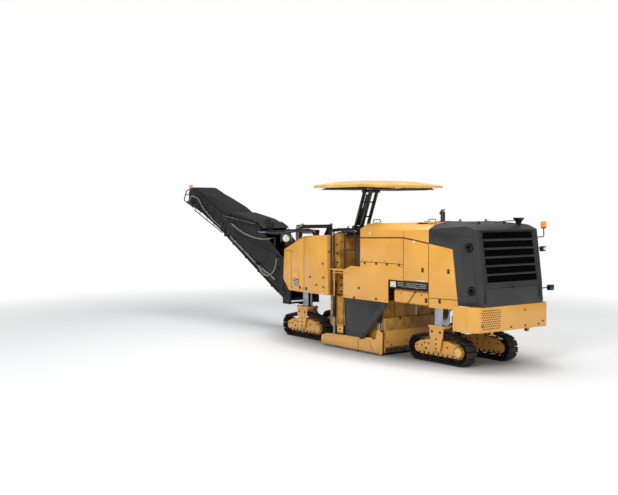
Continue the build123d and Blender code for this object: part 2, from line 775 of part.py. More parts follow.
def make_primary_conveyor():
    """Trough from the drum housing's throat up through the chassis to the slewing conveyor."""
    length = hypot(primary_head[0] - primary_foot[0], primary_head[1] - primary_foot[1])
    angle = degrees(atan2(primary_head[1] - primary_foot[1], primary_head[0] - primary_foot[0]))
    with BuildPart() as primary_conveyor:
        def sloped(*points):
            return [along(primary_foot, angle, s, h) for s, h in points]
        side_profile(sloped((0, 0), (length, 0), (length, 300), (length - 120, primary_side),
                            (150, primary_side),
                            (80, 280)), -primary_half, primary_half)
        side_profile(sloped((-100, 130), (length + 10, 130), (length + 10, primary_side + 10),
                            (-100, primary_side + 10)), -primary_half + 20, primary_half - 20,
                     Mode.SUBTRACT)
        end = primary_half - 20
        head = along(primary_foot, angle, length - 140, 70)
        cross_rod(*head, 90, -end, end)
        x = primary_foot[0] + primary_seat_share * (primary_head[0] - primary_foot[0])
        for side in (1, -1):
            block((x, x + 100), span(side, primary_half, rail_y - seat_gap), (rail_low, rail_high))
    finish(primary_conveyor, "primary_conveyor")


# ---- Loading conveyor -------------------------------------------------------------
def make_conveyor_mount():
    """Portal on the frame rails, with the upper and the lower slew bracket bolted to it."""
    back = rail_front_x + seat_gap
    front = mount_front_x
    seat = front + seat_gap
    with BuildPart() as conveyor_mount:
        for side in (1, -1):
            block((back, front), span(side, 480, 570), (1180, 3060))
            y = side * front_tie_y
            side_profile([(front - 10, 1185), (front + 85, 1200), (front + 85, 1290), (front - 10, 1360)],
                         y - tie_thick / 2, y + tie_thick / 2)
            cross_rod(front_tie_x, front_tie_z, tie_radius, y - tie_thick, y + tie_thick, Mode.SUBTRACT)
        block((back, front), (-570, 570), (2960, 3060))
        block((back, front), (-570, 570), (1180, 1280))
        plan_profile([(seat, -260), (slew_x, -90), (slew_x, 90), (seat, 260)], 2980, 3040)
        rod((slew_x, 0, 2980), (slew_x, 0, 3040), 90)
        rod((slew_x, 0, 2865), (slew_x, 0, 3040), slew_pin_radius)
        side_profile([(seat, 1280), (seat, 1140), (seat + 70, 1100), (seat + 70, 770), (slew_x, 770),
                      (slew_x, 800),
                      (seat + 115, 800), (seat + 115, 1180)], -50, 50)
        rod((slew_x, 0, 770), (slew_x, 0, 800), 90)
        rod((slew_x, 0, 770), (slew_x, 0, 840), slew_pin_radius)
    finish(conveyor_mount, "conveyor_mount")


def make_slew_yoke():
    outer = yoke_y + yoke_thick
    rear, front = slew_x - 160, slew_x + 200
    with BuildPart() as slew_yoke:
        for side in (1, -1):
            side_profile([(rear, 805), (front, 805), (front, 1260), (front - 120, 2200),
                          (front - 120, 2900),
                          (rear, 2900)], *span(side, yoke_y, outer))
            cross_rod(*lift_base, lift_pin_radius, *span(side, outer - 5, lift_y + 45))
            cross_rod(*boom_pin, boom_pin_radius, *span(side, yoke_y + 5, boom_half - boom_wall))
        block((rear + 40, front - 160), (-outer + 5, outer - 5), (2870, 2900))
        block((rear + 80, front - 40), (-outer + 5, outer - 5), (805, 835))
        for low, high in ((2860, 2910), (800, 840)):
            rod((slew_x, 0, low), (slew_x, 0, high), slew_pin_radius + seat_gap, Mode.SUBTRACT)
    finish(slew_yoke, "slew_yoke")


def boom_points(*points):
    """Side-view points given along the lower conveyor section."""
    return [along(boom_pin, boom_angle, s, h) for s, h in points]


def nose_points(*points):
    """Side-view points given along the folding conveyor section."""
    return [along(knee, nose_angle, s, h) for s, h in points]


def belt_loop(tail, head, radius, half):
    """Endless belt with the pulleys that fill its two ends."""
    with BuildSketch(Plane.XZ.offset(-half)) as band:
        with Locations(tail, head):
            Circle(radius + belt_thick)
        make_hull()
    extrude(band.sketch, amount=2 * half)
    tilt = degrees(atan2(head[1] - tail[1], head[0] - tail[0]))
    length = hypot(head[0] - tail[0], head[1] - tail[1])
    ends = [(radius, -radius), (length - radius, -radius), (length - radius, radius), (radius, radius)]
    side_profile([along(tail, tilt, s, h) for s, h in ends], -half, half, Mode.SUBTRACT)


def chamfered_cover(points, half, chamfer_size, height_of, limit):
    """Cover block whose long edges above a height limit are chamfered."""
    with BuildPart() as cover:
        side_profile(points, -half, half)
        rims = [edge for edge in cover.edges()
                if abs(abs(edge.center().Y) - half) < 1 and height_of(edge.center()) > limit]
        chamfer(rims, chamfer_size)
    return cover.part


def make_boom():
    inner = boom_half - boom_wall
    wall = boom_points((boom_tail, boom_low), (knee_s, boom_low), (knee_s, boom_end_top), boom_peak,
                       (boom_peak[0] - 504, 900), hopper_top, (boom_tail, 200))
    with BuildPart() as boom_frame:
        for side in (1, -1):
            side_profile(wall, *span(side, inner, boom_half))
            side_profile(boom_points((320, boom_low), (knee_s - 60, boom_low), (knee_s - 60, boom_low + 45),
                                     (320, boom_low + 45)), *span(side, boom_half - 2, boom_half + 25))
            for rib in range(rib_count):
                share = (rib + 1) / rib_count
                near = boom_low + 45 + share * 830
                far = boom_low + 45 + share * 270
                end = knee_s - 390
                side_profile(boom_points((880, near), (end, far), (end, far + rib_width),
                                         (880, near + rib_width)),
                             *span(side, boom_half - 2, boom_half + rib_height))
            cross_rod(*lift_eye, 70, *span(side, inner, boom_half + rib_height))
            cross_rod(*lift_eye, lift_pin_radius, *span(side, boom_half, lift_y + 45))
        side_profile(boom_points((boom_tail, boom_low), (knee_s, boom_low), (knee_s, boom_low + boom_wall),
                                 (boom_tail, boom_low + boom_wall)), -boom_half, boom_half)
        for s in (700, 1500, 2300, knee_s - 540):
            side_profile(boom_points((s, boom_low), (s + 60, boom_low), (s + 60, boom_low - 50),
                                     (s, boom_low - 50)),
                         -boom_half, boom_half)
        for place, heading in hose_ends:
            grip = Vector(*place)
            socket = grip - Vector(*heading).normalized() * hose_socket
            rod(tuple(grip), tuple(socket), hose_radius + 8)
            block((socket.X - 25, socket.X + 25), (boom_half - boom_wall, hose_y + 20),
                  (socket.Z - 25, socket.Z + 25))
        post_x = upper_hose[-1][0] - hose_socket
        block((post_x - 30, post_x + 30), (inner, boom_half), (hose_post_low, upper_hose[-1][2] + 25))
        cross_rod(*boom_pin, boom_pin_radius + seat_gap, -boom_half, boom_half, Mode.SUBTRACT)
        cross_rod(*knee, 35, -inner, inner, Mode.SUBTRACT)
        for side in (1, -1):
            cross_rod(*knee, 45, *span(side, inner, boom_half))
    finish(boom_frame, "boom_frame")
    lean = (boom_peak[1] - boom_end_top) / (knee_s - boom_peak[0])

    def rim(s, lift):
        """Point above the wall's sloping upper edge."""
        return (s, boom_peak[1] - (s - boom_peak[0]) * lean + lift)

    def height_above_boom(point):
        return along((0, 0), -boom_angle, point.X - boom_pin_x, point.Z - boom_pin_z)[1]
    with BuildPart() as boom_cover:
        start = boom_peak[0] - 300
        add(chamfered_cover(boom_points((start, boom_peak[1] + 20), rim(boom_peak[0], seat_gap),
                                        rim(knee_s, seat_gap),
                                        (knee_s, 950), (knee_s - 980, 1190), (boom_peak[0] - 174, 1150),
                                        (start, 1080)),
                            boom_half, 50, height_above_boom, 1050))
        side_profile(boom_points((start - 10, boom_peak[1] + 10), rim(boom_peak[0], -1),
                                 rim(knee_s + 10, -5),
                                 (knee_s + 10, 875), (knee_s - 990, 1115), (boom_peak[0] - 174, 1075),
                                 (start - 10, 1010)),
                     -boom_half + skin, boom_half - skin, Mode.SUBTRACT)
    finish(boom_cover, "boom_cover")
    with BuildPart() as boom_belt:
        tail, head = boom_points((230, 20), (knee_s - 310, 0))
        belt_loop(tail, head, pulley_radius, belt_width / 2)
        for x, z in (tail, head):
            cross_rod(x, z, 40, -inner + seat_gap, inner - seat_gap)
    finish(boom_belt, "boom_belt")
    for name, route in (("upper", upper_hose), ("lower", lower_hose)):
        with BuildPart() as boom_hose:
            hose(route, hose_radius)
        finish(boom_hose, f"boom_hose_{name}")


def make_nose():
    inner = nose_half - boom_wall
    wall = nose_points((4, 0), (2080, 0), (2230, -110), (2500, -130), (nose_length, 40),
                       (nose_length, nose_tip_top),
                       (2080, nose_wall_top), (4, nose_wall_top))
    with BuildPart() as nose_frame:
        for side in (1, -1):
            side_profile(wall, *span(side, inner, nose_half))
            side_profile(nose_points((60, 0), (2080, 0), (2080, 40), (60, 40)),
                         *span(side, inner, nose_half + 20))
            side_profile(nose_points((60, nose_wall_top - 40), (2080, nose_wall_top - 40),
                                     (2080, nose_wall_top),
                                     (60, nose_wall_top)), *span(side, inner, nose_half + 20))
        for share in (0.2, 0.8):
            s = tail_pulley[0] + share * (head_pulley[0] - tail_pulley[0])
            h = tail_pulley[1] + share * (head_pulley[1] - tail_pulley[1])
            cross_rod(*along(knee, nose_angle, s, h), 30, -inner - 2, inner + 2)
        guard = nose_points((nose_length - 30, nose_tip_top - 60), (nose_length + 230, 250),
                            (nose_length + 270, -140), (2480, -100))
        guard_y = inner + 6
        for side in (1, -1):
            rail(cut_corners([(x, side * guard_y, z) for x, z in guard], 50), 18)
        for x, z in nose_points((nose_length + 251, 60), (nose_length + 126, 302)):
            cross_rod(x, z, 14, -guard_y, guard_y)
        end = boom_half - boom_wall - seat_gap
        cross_rod(*knee, knee_radius, -end, end)
    finish(nose_frame, "nose_frame")

    def height_above_nose(point):
        return along((0, 0), -nose_angle, point.X - knee[0], point.Z - knee[1])[1]
    with BuildPart() as nose_cover:
        base = nose_wall_top + seat_gap
        add(chamfered_cover(nose_points((4, base), (2080, base), (2560, nose_tip_top + 30), (2550, 520),
                                        (1925, 675),
                                        (1395, 900), (524, 1186), (4, 1190)),
                            nose_half, 50, height_above_nose, 560))
        side_profile(nose_points((-5, base - 1), (2090, base - 1), (2500, nose_tip_top + 10), (2480, 500),
                                 (1910, 620),
                                 (1370, 840), (510, 1120), (-5, 1124)), -nose_half + skin, nose_half - skin,
                     Mode.SUBTRACT)
    finish(nose_cover, "nose_cover")
    with BuildPart() as nose_belt:
        tail, head = nose_points(tail_pulley, head_pulley)
        belt_loop(tail, head, pulley_radius - 30, belt_width / 2)
        for x, z in (tail, head):
            cross_rod(x, z, 40, -inner + seat_gap, inner - seat_gap)
    finish(nose_belt, "nose_belt")


def make_lift_cylinders():
    axis = Vector(lift_eye[0] - lift_base[0], 0, lift_eye[1] - lift_base[1])
    unit = axis.normalized()
    with BuildPart() as lift_barrels:
        for side in (1, -1):
            base = Vector(lift_base[0], side * lift_y, lift_base[1])
            rod(tuple(base), tuple(base + unit * lift_barrel_length), lift_barrel_radius)
            rod(tuple(base + unit * 80), tuple(base + unit * (lift_barrel_length + 10)),
                lift_rod_radius + 0.5,
                Mode.SUBTRACT)
            cross_rod(*lift_base, lift_pin_radius + 28, side * lift_y - 30, side * lift_y + 30)
            cross_rod(*lift_base, lift_pin_radius + seat_gap, side * lift_y - 60, side * lift_y + 60,
                      Mode.SUBTRACT)
    finish(lift_barrels, "lift_barrels")
    with BuildPart() as lift_rods:
        for side in (1, -1):
            base = Vector(lift_base[0], side * lift_y, lift_base[1])
            rod(tuple(base + unit * 500), tuple(base + unit * (axis.length - 10)), lift_rod_radius)
            cross_rod(*lift_eye, lift_eye_bore + 22, side * lift_y - 28, side * lift_y + 28)
            cross_rod(*lift_eye, lift_eye_bore, side * lift_y - 60, side * lift_y + 60, Mode.SUBTRACT)
    finish(lift_rods, "lift_rods")


# ---- Canopy -----------------------------------------------------------------------
def make_canopy():
    for name, shift in (("front", 0), ("rear", -arm_spacing)):
        with BuildPart() as canopy_arm:
            foot = Vector(arm_foot[0] + shift, 0, arm_foot[1])
            head = Vector(arm_head[0] + shift, 0, arm_head[1])
            lean = Plane(origin=foot, x_dir=(0, 1, 0), z_dir=head - foot)
            with BuildSketch(lean) as tubes:
                with Locations((-arm_y, 0), (arm_y, 0)):
                    Rectangle(arm_width, arm_width)
            extrude(tubes.sketch, amount=(head - foot).length)
            cross_rod(foot.X, foot.Z, 36, -arm_y - 40, arm_y + 40)
            cross_rod(head.X, head.Z, 34, -arm_y - 40, arm_y + 40)
        finish(canopy_arm, f"canopy_arm_{name}")
    with BuildPart() as canopy_roof:
        low, edge = canopy_z, canopy_z + canopy_edge
        high = canopy_z + canopy_edge + canopy_crown
        half = canopy_length / 2
        with BuildSketch(Plane.YZ.offset(canopy_x - half)) as section:
            with BuildLine():
                Polyline((-canopy_half, edge), (-canopy_half, low), (canopy_half, low), (canopy_half, edge))
                ThreePointArc((canopy_half, edge), (0, high), (-canopy_half, edge))
            make_face()
        extrude(section.sketch, amount=canopy_length)
        with BuildSketch(Plane.XZ.offset(-canopy_half)) as profile:
            with BuildLine():
                Polyline((canopy_x - half, edge), (canopy_x - half, low), (canopy_x + half, low),
                         (canopy_x + half, edge))
                ThreePointArc((canopy_x + half, edge), (canopy_x, high), (canopy_x - half, edge))
            make_face()
        extrude(profile.sketch, amount=2 * canopy_half, mode=Mode.INTERSECT)
        for x in (arm_head[0], arm_head[0] - arm_spacing):
            for side in (1, -1):
                block((x - 45, x + 45), span(side, arm_y + 40 + seat_gap, arm_y + 70),
                      (arm_head[1] - 40, low + 5))
    finish(canopy_roof, "canopy_roof")


def main():
    os.makedirs("parts", exist_ok=True)
    make_main_frame()
    for name, x, side, end in legs:
        make_leg_column(name, x, side * leg_y, column_radius[end])
        make_track_frame(name, x, side * leg_y, side)
        make_track_chain(name, x, side * leg_y)
    make_engine_body()
    make_rear_bumper()
    make_front_body()
    make_operator_place()
    make_milling_gear()
    make_conveyor_mount()
    make_slew_yoke()
    make_boom()
    make_nose()
    make_lift_cylinders()
    make_canopy()


main()
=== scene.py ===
"""Looks of a cold planer milling machine with a folding loading conveyor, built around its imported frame."""

import json
from math import asin, atan2, cos, hypot, pi, radians, sin, tau

import bmesh
import bpy
from mathutils import Matrix, Vector


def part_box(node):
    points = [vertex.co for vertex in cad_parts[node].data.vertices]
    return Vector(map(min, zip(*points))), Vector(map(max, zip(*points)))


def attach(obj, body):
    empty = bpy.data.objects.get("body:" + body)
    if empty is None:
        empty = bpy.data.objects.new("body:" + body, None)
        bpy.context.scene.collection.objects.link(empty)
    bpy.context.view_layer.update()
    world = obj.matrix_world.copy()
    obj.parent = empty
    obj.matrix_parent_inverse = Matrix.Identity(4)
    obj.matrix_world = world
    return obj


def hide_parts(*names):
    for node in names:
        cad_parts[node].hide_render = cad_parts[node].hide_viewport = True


bl_info = {
    "name": "Cold Planer Dressing",
    "version": (1, 0, 0),
    "blender": (4, 5, 0),
    "location": "View3D > Sidebar > Cold Planer",
    "description": "Dresses the packed frame of a cold planer with its visible detail and finishes",
    "category": "Add Mesh",
}

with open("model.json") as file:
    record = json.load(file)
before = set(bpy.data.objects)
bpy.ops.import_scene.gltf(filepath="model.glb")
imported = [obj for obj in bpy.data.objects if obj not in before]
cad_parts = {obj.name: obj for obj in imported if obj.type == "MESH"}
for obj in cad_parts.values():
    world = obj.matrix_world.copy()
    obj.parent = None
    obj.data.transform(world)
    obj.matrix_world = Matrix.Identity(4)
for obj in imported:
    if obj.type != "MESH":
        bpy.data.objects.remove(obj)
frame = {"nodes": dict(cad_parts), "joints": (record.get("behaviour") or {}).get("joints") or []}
PINS = {joint["name"]: Vector(joint["pos_m"]) for joint in frame["joints"] if joint.get("pos_m")}

# Datums, in metres: leg axes, drum axis, slew axis, pins of the conveyor and the widest body panel.
REAR = PINS["steer_rear_left"].x
FRONT = PINS["steer_front_left"].x
DRUM = PINS["drum_spin"]
SLEW = PINS["conveyor_slew"].x
BOOM_PIN = PINS["conveyor_lift"]
KNEE = PINS["conveyor_fold"]
LEG_Y = PINS["steer_rear_left"].y
BODY_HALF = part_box("engine_sides")[1].y
BOOM_TILT = radians(29)
NOSE_TILT = radians(25)
# Half widths of the two conveyor sections, over their walls.
BOOM_HALF = 0.455
NOSE_HALF = 0.425
# Places that several pieces share: exhaust pipe, corner beacon, guide rods of the side plates.
EXHAUST = Vector((REAR + 0.07, 0.6, 0))
CORNER_BEACON = Vector((REAR - 1.28, -1.27, 0))
GUIDE_RODS = [(DRUM.x + shift, BODY_HALF - 0.14, 0) for shift in (-0.89, 0.85)]
# Heights of the deck's floor and of its rails, thickness of the hanging hoses.
DECK = 2.004
RAIL_TOP = 2.955
HOSE_THICK = 0.036
# Share of its CAD height that each conveyor cover really has.
BOOM_COVER_SHARE = 0.26
NOSE_COVER_SHARE = 0.33
# Edges sharper than this stay crisp, and corners closer than this become one.
CRISP = radians(38)
WELD = 0.00005
# The three axes that covers, bolts and turned shapes face.
ALONG, ACROSS, UP = (1, 0, 0), (0, 1, 0), (0, 0, 1)

# Finishes that several pieces share, in the order of their faces' numbers.
PANEL_FINISHES = ("yellow_powder_coat", "gap_shade", "black_gloss_enamel", "lamp_glass", "forged_steel")
SECTION_FINISHES = ("black_conveyor_coat", "black_powder_coat", "forged_steel", "hose_rubber",
    "black_gloss_enamel", "worn_steel")


# ---- Finishes ---------------------------------------------------------------------
def linear(hex_code):
    """Linear colour, with an alpha of 1, of an sRGB hex value."""
    channels = [int(hex_code[place:place + 2], 16) / 255 for place in (1, 3, 5)]
    return tuple(c / 12.92 if c <= 0.04045 else ((c + 0.055) / 1.055) ** 2.4 for c in channels) + (1.0,)


def wire(tree, kind, settings=None, inputs=None):
    """Adds a node, sets its settings, and links or sets its inputs."""
    made = tree.nodes.new("ShaderNode" + kind)
    for name, value in (settings or {}).items():
        setattr(made, name, value)
    for name, value in (inputs or {}).items():
        if isinstance(value, bpy.types.NodeSocket):
            tree.links.new(value, made.inputs[name])
        else:
            made.inputs[name].default_value = value
    return made


def blank_material(name):
    """Empty material tree with its shader, its output and the object's own coordinates."""
    material = bpy.data.materials.new(name)
    material.use_nodes = True
    tree = material.node_tree
    tree.nodes.clear()
    shader = wire(tree, "BsdfPrincipled")
    wire(tree, "OutputMaterial", inputs={"Surface": shader.outputs["BSDF"]})
    place = wire(tree, "TexCoord").outputs["Object"]
    return tree, shader, place


def ramp(tree, factor, low, high, dark, light):
    """Colour that goes from dark to light as a factor goes from low to high."""
    made = wire(tree, "ValToRGB", inputs={"Fac": factor})
    made.color_ramp.elements[0].position, made.color_ramp.elements[0].color = low, dark
    made.color_ramp.elements[1].position, made.color_ramp.elements[1].color = high, light
    return made.outputs["Color"]


def spread(tree, factor, low, high):
    """A 0 to 1 factor spread over another range."""
    return wire(tree, "MapRange", inputs={"Value": factor, "To Min": low, "To Max": high}).outputs["Result"]


def grain(tree, place, millimetres, detail=3.0):
    """Noise whose grains are that many millimetres across."""
    return wire(tree, "TexNoise",
                inputs={"Vector": place, "Scale": 1000 / millimetres, "Detail": detail}).outputs["Fac"]


def coated(name, colour, shade, metallic, roughness, mottle, texture, depth, coat=0.0, dust=None):
    """Surface with a slow change of tone, a varied gloss and a fine relief, in millimetres."""
    tree, shader, place = blank_material(name)
    tone = ramp(tree, grain(tree, place, mottle), 0.35, 0.65, linear(shade), linear(colour))
    if dust:
        height = wire(tree, "SeparateXYZ", inputs={"Vector": place}).outputs["Z"]
        low = wire(tree, "MapRange", inputs={"Value": height, "From Min": 1.5, "From Max": 0.0,
            "To Min": 0.0, "To Max": 0.45}).outputs["Result"]
        patchy = wire(tree, "Math", {"operation": "MULTIPLY"}, {0: low, 1: grain(tree, place, 140, 6.0)})
        tone = wire(tree, "Mix", {"data_type": "RGBA"}, {"Factor": patchy.outputs[0], 6: tone,
            7: linear(dust)}).outputs[2]
    tree.links.new(tone, shader.inputs["Base Color"])
    gloss = spread(tree, grain(tree, place, mottle / 4), roughness - 0.07, roughness + 0.07)
    tree.links.new(gloss, shader.inputs["Roughness"])
    relief = wire(tree, "Bump", inputs={"Height": grain(tree, place, texture), "Strength": 0.5,
                                                  "Distance": depth / 1000})
    tree.links.new(relief.outputs["Normal"], shader.inputs["Normal"])
    shader.inputs["Metallic"].default_value = metallic
    shader.inputs["Coat Weight"].default_value = coat
    shader.inputs["Coat Roughness"].default_value = 0.12
    return tree, shader, place


def stamped(tree, shader, height, depth):
    """Adds a pattern's relief on top of what a finish has already."""
    under = shader.inputs["Normal"].links[0].from_socket
    relief = wire(tree, "Bump", inputs={"Height": height, "Normal": under, "Distance": depth / 1000})
    tree.links.new(relief.outputs["Normal"], shader.inputs["Normal"])


def make_finishes(colours):
    """Every finish of the machine, under the name of what it really is."""
    # Powder coat on sheet steel: even satin gloss, a faint orange peel and stone dust low down.
    coated("yellow_powder_coat", colours.yellow_paint, "#D79B3E", 0.0, 0.36, 900, 9, 0.25, 0.25, "#C9A878")
    # The same coat in deep places near the cutting drum: darker for painted shade, with a duller gloss and
    # stone dust.
    coated("yellow_coat_shade_and_dust", "#C98F35", "#8E6526", 0.0, 0.6, 180, 12, 0.6, 0.0, "#A98A5E")
    # Textured black powder coat: low gloss, fine pimples of about 2 mm, drawn at 5 mm so that they show.
    coated("black_powder_coat", colours.black_paint, "#202021", 0.0, 0.5, 700, 5, 0.35, 0.1)
    # Blackened plate of the conveyors: darker and flatter, with grey rub marks.
    coated("black_conveyor_coat", "#161617", "#0B0B0C", 0.0, 0.55, 260, 7, 0.5)
    # Black gloss enamel of rails and brackets: tight highlights along every tube.
    coated("black_gloss_enamel", "#151515", "#0D0D0D", 0.0, 0.28, 200, 14, 0.2, 0.3)
    # Hard chrome on ground steel: mirror with faint drawn lines along the stroke.
    tree, shader, place = coated("hard_chrome", "#A2A5AA", "#83868C", 1.0, 0.13, 300, 20, 0.05)
    drawn = wire(tree, "Mapping", inputs={"Vector": place, "Scale": (600, 600, 4)}).outputs["Vector"]
    stamped(tree, shader, wire(tree, "TexNoise", inputs={"Vector": drawn, "Scale": 1.0}).outputs["Fac"],
        0.03)
    # Machined and worn steel: brushed grey, brighter where it rubs.
    coated("worn_steel", "#A9A7A3", "#6F6C68", 1.0, 0.38, 60, 6, 0.4)
    # Forged, oiled steel of links, picks and hubs: dark, half dull.
    coated("forged_steel", "#3A3632", "#211F1D", 0.7, 0.5, 90, 8, 0.8)
    # Cast iron of the engine: sand-cast grain of 3 mm, drawn at 8 mm.
    coated("cast_iron", "#4B4A49", "#343332", 0.6, 0.62, 160, 8, 1.0)
    # Polyurethane track pads: near black with a scuffed, dusty face.
    coated("track_pad_rubber", "#1A1919", "#0F0F0F", 0.0, 0.72, 70, 10, 1.2, 0.0, "#4A443B")
    # Woven conveyor belting: matt black rubber with the cord's 4 mm rib, drawn at 12 mm.
    tree, shader, place = coated("belt_rubber_ply", "#1E1E1E", "#141414", 0.0, 0.78, 220, 6, 0.6)
    ribs = wire(tree, "TexWave", {"bands_direction": "Y"}, {"Vector": place, "Scale": 83.0 / tau})
    stamped(tree, shader, ribs.outputs["Fac"], 0.5)
    # Hydraulic hose: grey braid-marked rubber, a soft sheen along its top.
    tree, shader, place = coated("hose_rubber", "#94928B", "#75736D", 0.0, 0.42, 40, 4, 0.5)
    braid = wire(tree, "TexWave", {"bands_direction": "DIAGONAL"}, {"Vector": place, "Scale": 30.0})
    stamped(tree, shader, braid.outputs["Fac"], 0.6)
    # Black cable and rubber mouldings.
    coated("black_rubber", "#191919", "#101010", 0.0, 0.6, 50, 5, 0.5)
    # Perforated anti-slip plate in zinc grey under yellow: raised teardrops 30 mm apart.
    tree, shader, place = coated("tread_plate", "#D9A445", "#B98A38", 0.1, 0.5, 120, 6, 0.4, 0.0, "#A98A5E")
    studs = wire(tree, "TexVoronoi", {"feature": "F1"}, {"Vector": place, "Scale": 1000 / 30,
                                                                    "Randomness": 0.0})
    raised = wire(tree, "Math", {"operation": "LESS_THAN"}, {0: studs.outputs["Distance"], 1: 0.28})
    stamped(tree, shader, raised.outputs[0], 2.0)
    # Wire screen behind the grille: near black with little specular, for black wires 12 mm apart and the
    # painted shade of the space behind them; the mesh is only a relief.
    tree, shader, place = coated("screen_and_void_shade", "#050505", "#020202", 0.0, 0.85, 80, 5, 0.3)
    shader.inputs["Specular IOR Level"].default_value = 0.05
    holes = wire(tree, "TexVoronoi", {"feature": "F1"}, {"Vector": place, "Scale": 1000 / 12,
                                                                    "Randomness": 0.0})
    stamped(tree, shader, holes.outputs["Distance"], 3.0)
    # Seat vinyl: soft grain of 6 mm and a broad sheen.
    tree, shader, place = coated("seat_vinyl", "#232324", "#171718", 0.0, 0.5, 160, 6, 0.7)
    shader.inputs["Sheen Weight"].default_value = 0.2
    # Amber polycarbonate of the beacons, moulded with upright flutes.
    tree, shader, place = coated("amber_lens", colours.beacon_amber, "#D9701A", 0.0, 0.25, 60, 12, 0.2, 0.6)
    tree.links.new(shader.inputs["Base Color"].links[0].from_socket, shader.inputs["Emission Color"])
    shader.inputs["Emission Strength"].default_value = 0.25
    # Lamp glass: pale, fluted and glossy over a bright reflector.
    tree, shader, place = coated("lamp_glass", "#EDEADD", "#D4CFBE", 0.0, 0.12, 40, 10, 0.6, 1.0)
    # Glass-fibre roof: paler yellow gel coat with soft waves.
    coated("gel_coat_yellow", "#DFBA67", "#CFA653", 0.0, 0.42, 500, 30, 0.5, 0.2)
    # Dark brown strips in panel gaps and creases, and dark plates in perforations: painted shade of the gaps,
    # creases and holes.
    coated("gap_shade", "#2A2118", "#17120D", 0.0, 0.75, 60, 5, 0.2)


# ---- Shaping ----------------------------------------------------------------------
def rounded(part, rim, segments, angle=0.5):
    """Rounds every edge sharper than an angle."""
    bmesh.ops.recalc_face_normals(part, faces=part.faces)
    if rim:
        sharp = [e for e in part.edges if len(e.link_faces) == 2 and e.calc_face_angle(0.0) > angle]
        bmesh.ops.bevel(part, geom=sharp, offset=rim, offset_type="OFFSET", segments=segments, profile=0.5,
            affect="EDGES", clamp_overlap=True, material=-1)
    return part


def verts_of(items):
    """The corners among an operation's new items."""
    return [item for item in items if isinstance(item, bmesh.types.BMVert)]


def edges_of(items):
    """The edges among an operation's new items."""
    return [item for item in items if isinstance(item, bmesh.types.BMEdge)]


def block(low, high, rim=0.003, segments=2):
    """Rectangular block between two corners."""
    part = bmesh.new()
    low, high = Vector(low), Vector(high)
    size = high - low
    place = Matrix.Translation((low + high) / 2) @ Matrix.Diagonal((*size, 1.0))
    bmesh.ops.create_cube(part, size=1.0, matrix=place)
    return rounded(part, min(rim, 0.3 * min(size)), segments)


def plate(outline, axis, low, high, rim=0.003, segments=2):
    """Plate whose outline lies across an axis: (x, z) across Y, (y, z) across X, (x, y) across Z."""
    spots = {"X": lambda a, b, c: (c, a, b), "Y": lambda a, b, c: (a, c, b), "Z": lambda a, b,
        c: (a, b, c)}[axis]
    part = bmesh.new()
    face = part.faces.new([part.verts.new(spots(a, b, low)) for a, b in outline])
    grown = bmesh.ops.extrude_face_region(part, geom=[face])
    fresh = verts_of(grown["geom"])
    bmesh.ops.translate(part, vec=spots(0, 0, high - low), verts=fresh)
    return rounded(part, min(rim, 0.3 * abs(high - low)), segments)


def towards(start, direction):
    """Transform that takes +Z at the origin to a direction at a point."""
    return Matrix.Translation(Vector(start)) @ Vector(direction).to_track_quat("Z", "Y").to_matrix().to_4x4()


def bar(start, end, radius, rim=0.002, sides=20, far_radius=None):
    """Round or many-sided bar between two points."""
    part = bmesh.new()
    run = Vector(end) - Vector(start)
    far = radius if far_radius is None else far_radius
    place = towards(start, run) @ Matrix.Translation((0, 0, run.length / 2))
    bmesh.ops.create_cone(part, cap_ends=True, segments=sides, radius1=radius, radius2=far, depth=run.length,
                          matrix=place)
    return rounded(part, min(rim, 0.3 * radius), 1, 1.0)


def turned(outline, start, direction, steps=28):
    """Turned shape: (radius, height) points spun about an axis."""
    part = bmesh.new()
    spots = [part.verts.new((radius, 0, height)) for radius, height in outline]
    edges = [part.edges.new(pair) for pair in zip(spots, spots[1:])]
    bmesh.ops.spin(part, geom=spots + edges, cent=(0, 0, 0), axis=(0, 0, 1), angle=tau, steps=steps,
        use_merge=True)
    bmesh.ops.remove_doubles(part, verts=part.verts, dist=WELD)
    bmesh.ops.transform(part, matrix=towards(start, direction), verts=part.verts)
    return rounded(part, 0, 0)


def pipe(route, radius, corner, sides=10):
    """Bent tube: straight runs that turn through round corners."""
    part = bmesh.new()
    route = [Vector(point) for point in route]
    here = route[0]
    ring = bmesh.ops.create_circle(part, cap_ends=True, segments=sides, radius=radius,
                                   matrix=towards(here, route[1] - here))
    edges = list({edge for vert in ring["verts"] for edge in vert.link_edges})
    for index in range(1, len(route)):
        run = (route[index] - route[index - 1]).normalized()
        last = index == len(route) - 1
        turn = 0.0 if last else run.angle((route[index + 1] - route[index]).normalized())
        trim = corner * abs(sin(turn / 2) / cos(turn / 2)) if turn > 0.01 else 0.0
        goal = route[index] - run * trim
        grown = bmesh.ops.extrude_edge_only(part, edges=edges)["geom"]
        bmesh.ops.translate(part, vec=goal - here, verts=verts_of(grown))
        edges = edges_of(grown)
        here = goal
        if trim:
            onward = (route[index + 1] - route[index]).normalized()
            normal = run.cross(onward).normalized()
            centre = goal + normal.cross(run) * corner
            spun = bmesh.ops.spin(part, geom=edges, cent=centre, axis=normal, angle=turn,
                steps=5)["geom_last"]
            edges = edges_of(spun)
            here = route[index] + onward * trim
    bmesh.ops.contextual_create(part, geom=edges)
    bmesh.ops.remove_doubles(part, verts=part.verts, dist=WELD)
    return rounded(part, 0, 0)


def bolt(at, normal, across=0.03):
    """Hexagon head on its washer."""
    part = bmesh.new()
    place = towards(at, normal)
    bmesh.ops.create_cone(part, cap_ends=True, segments=10, radius1=across * 0.85, radius2=across * 0.8,
                          depth=across * 0.24, matrix=place)
    bmesh.ops.create_cone(part, cap_ends=True, segments=6, radius1=across * 0.58, radius2=across * 0.54,
                          depth=across * 0.9, matrix=place @ Matrix.Translation((0, 0, across * 0.2)))
    return part


def collar(inner, outer, low, high, start, direction, steps):
    """Square-edged collar about an axis."""
    return turned([(inner, low), (outer, low), (outer, high), (inner, high), (inner, low)], start, direction,
        steps)


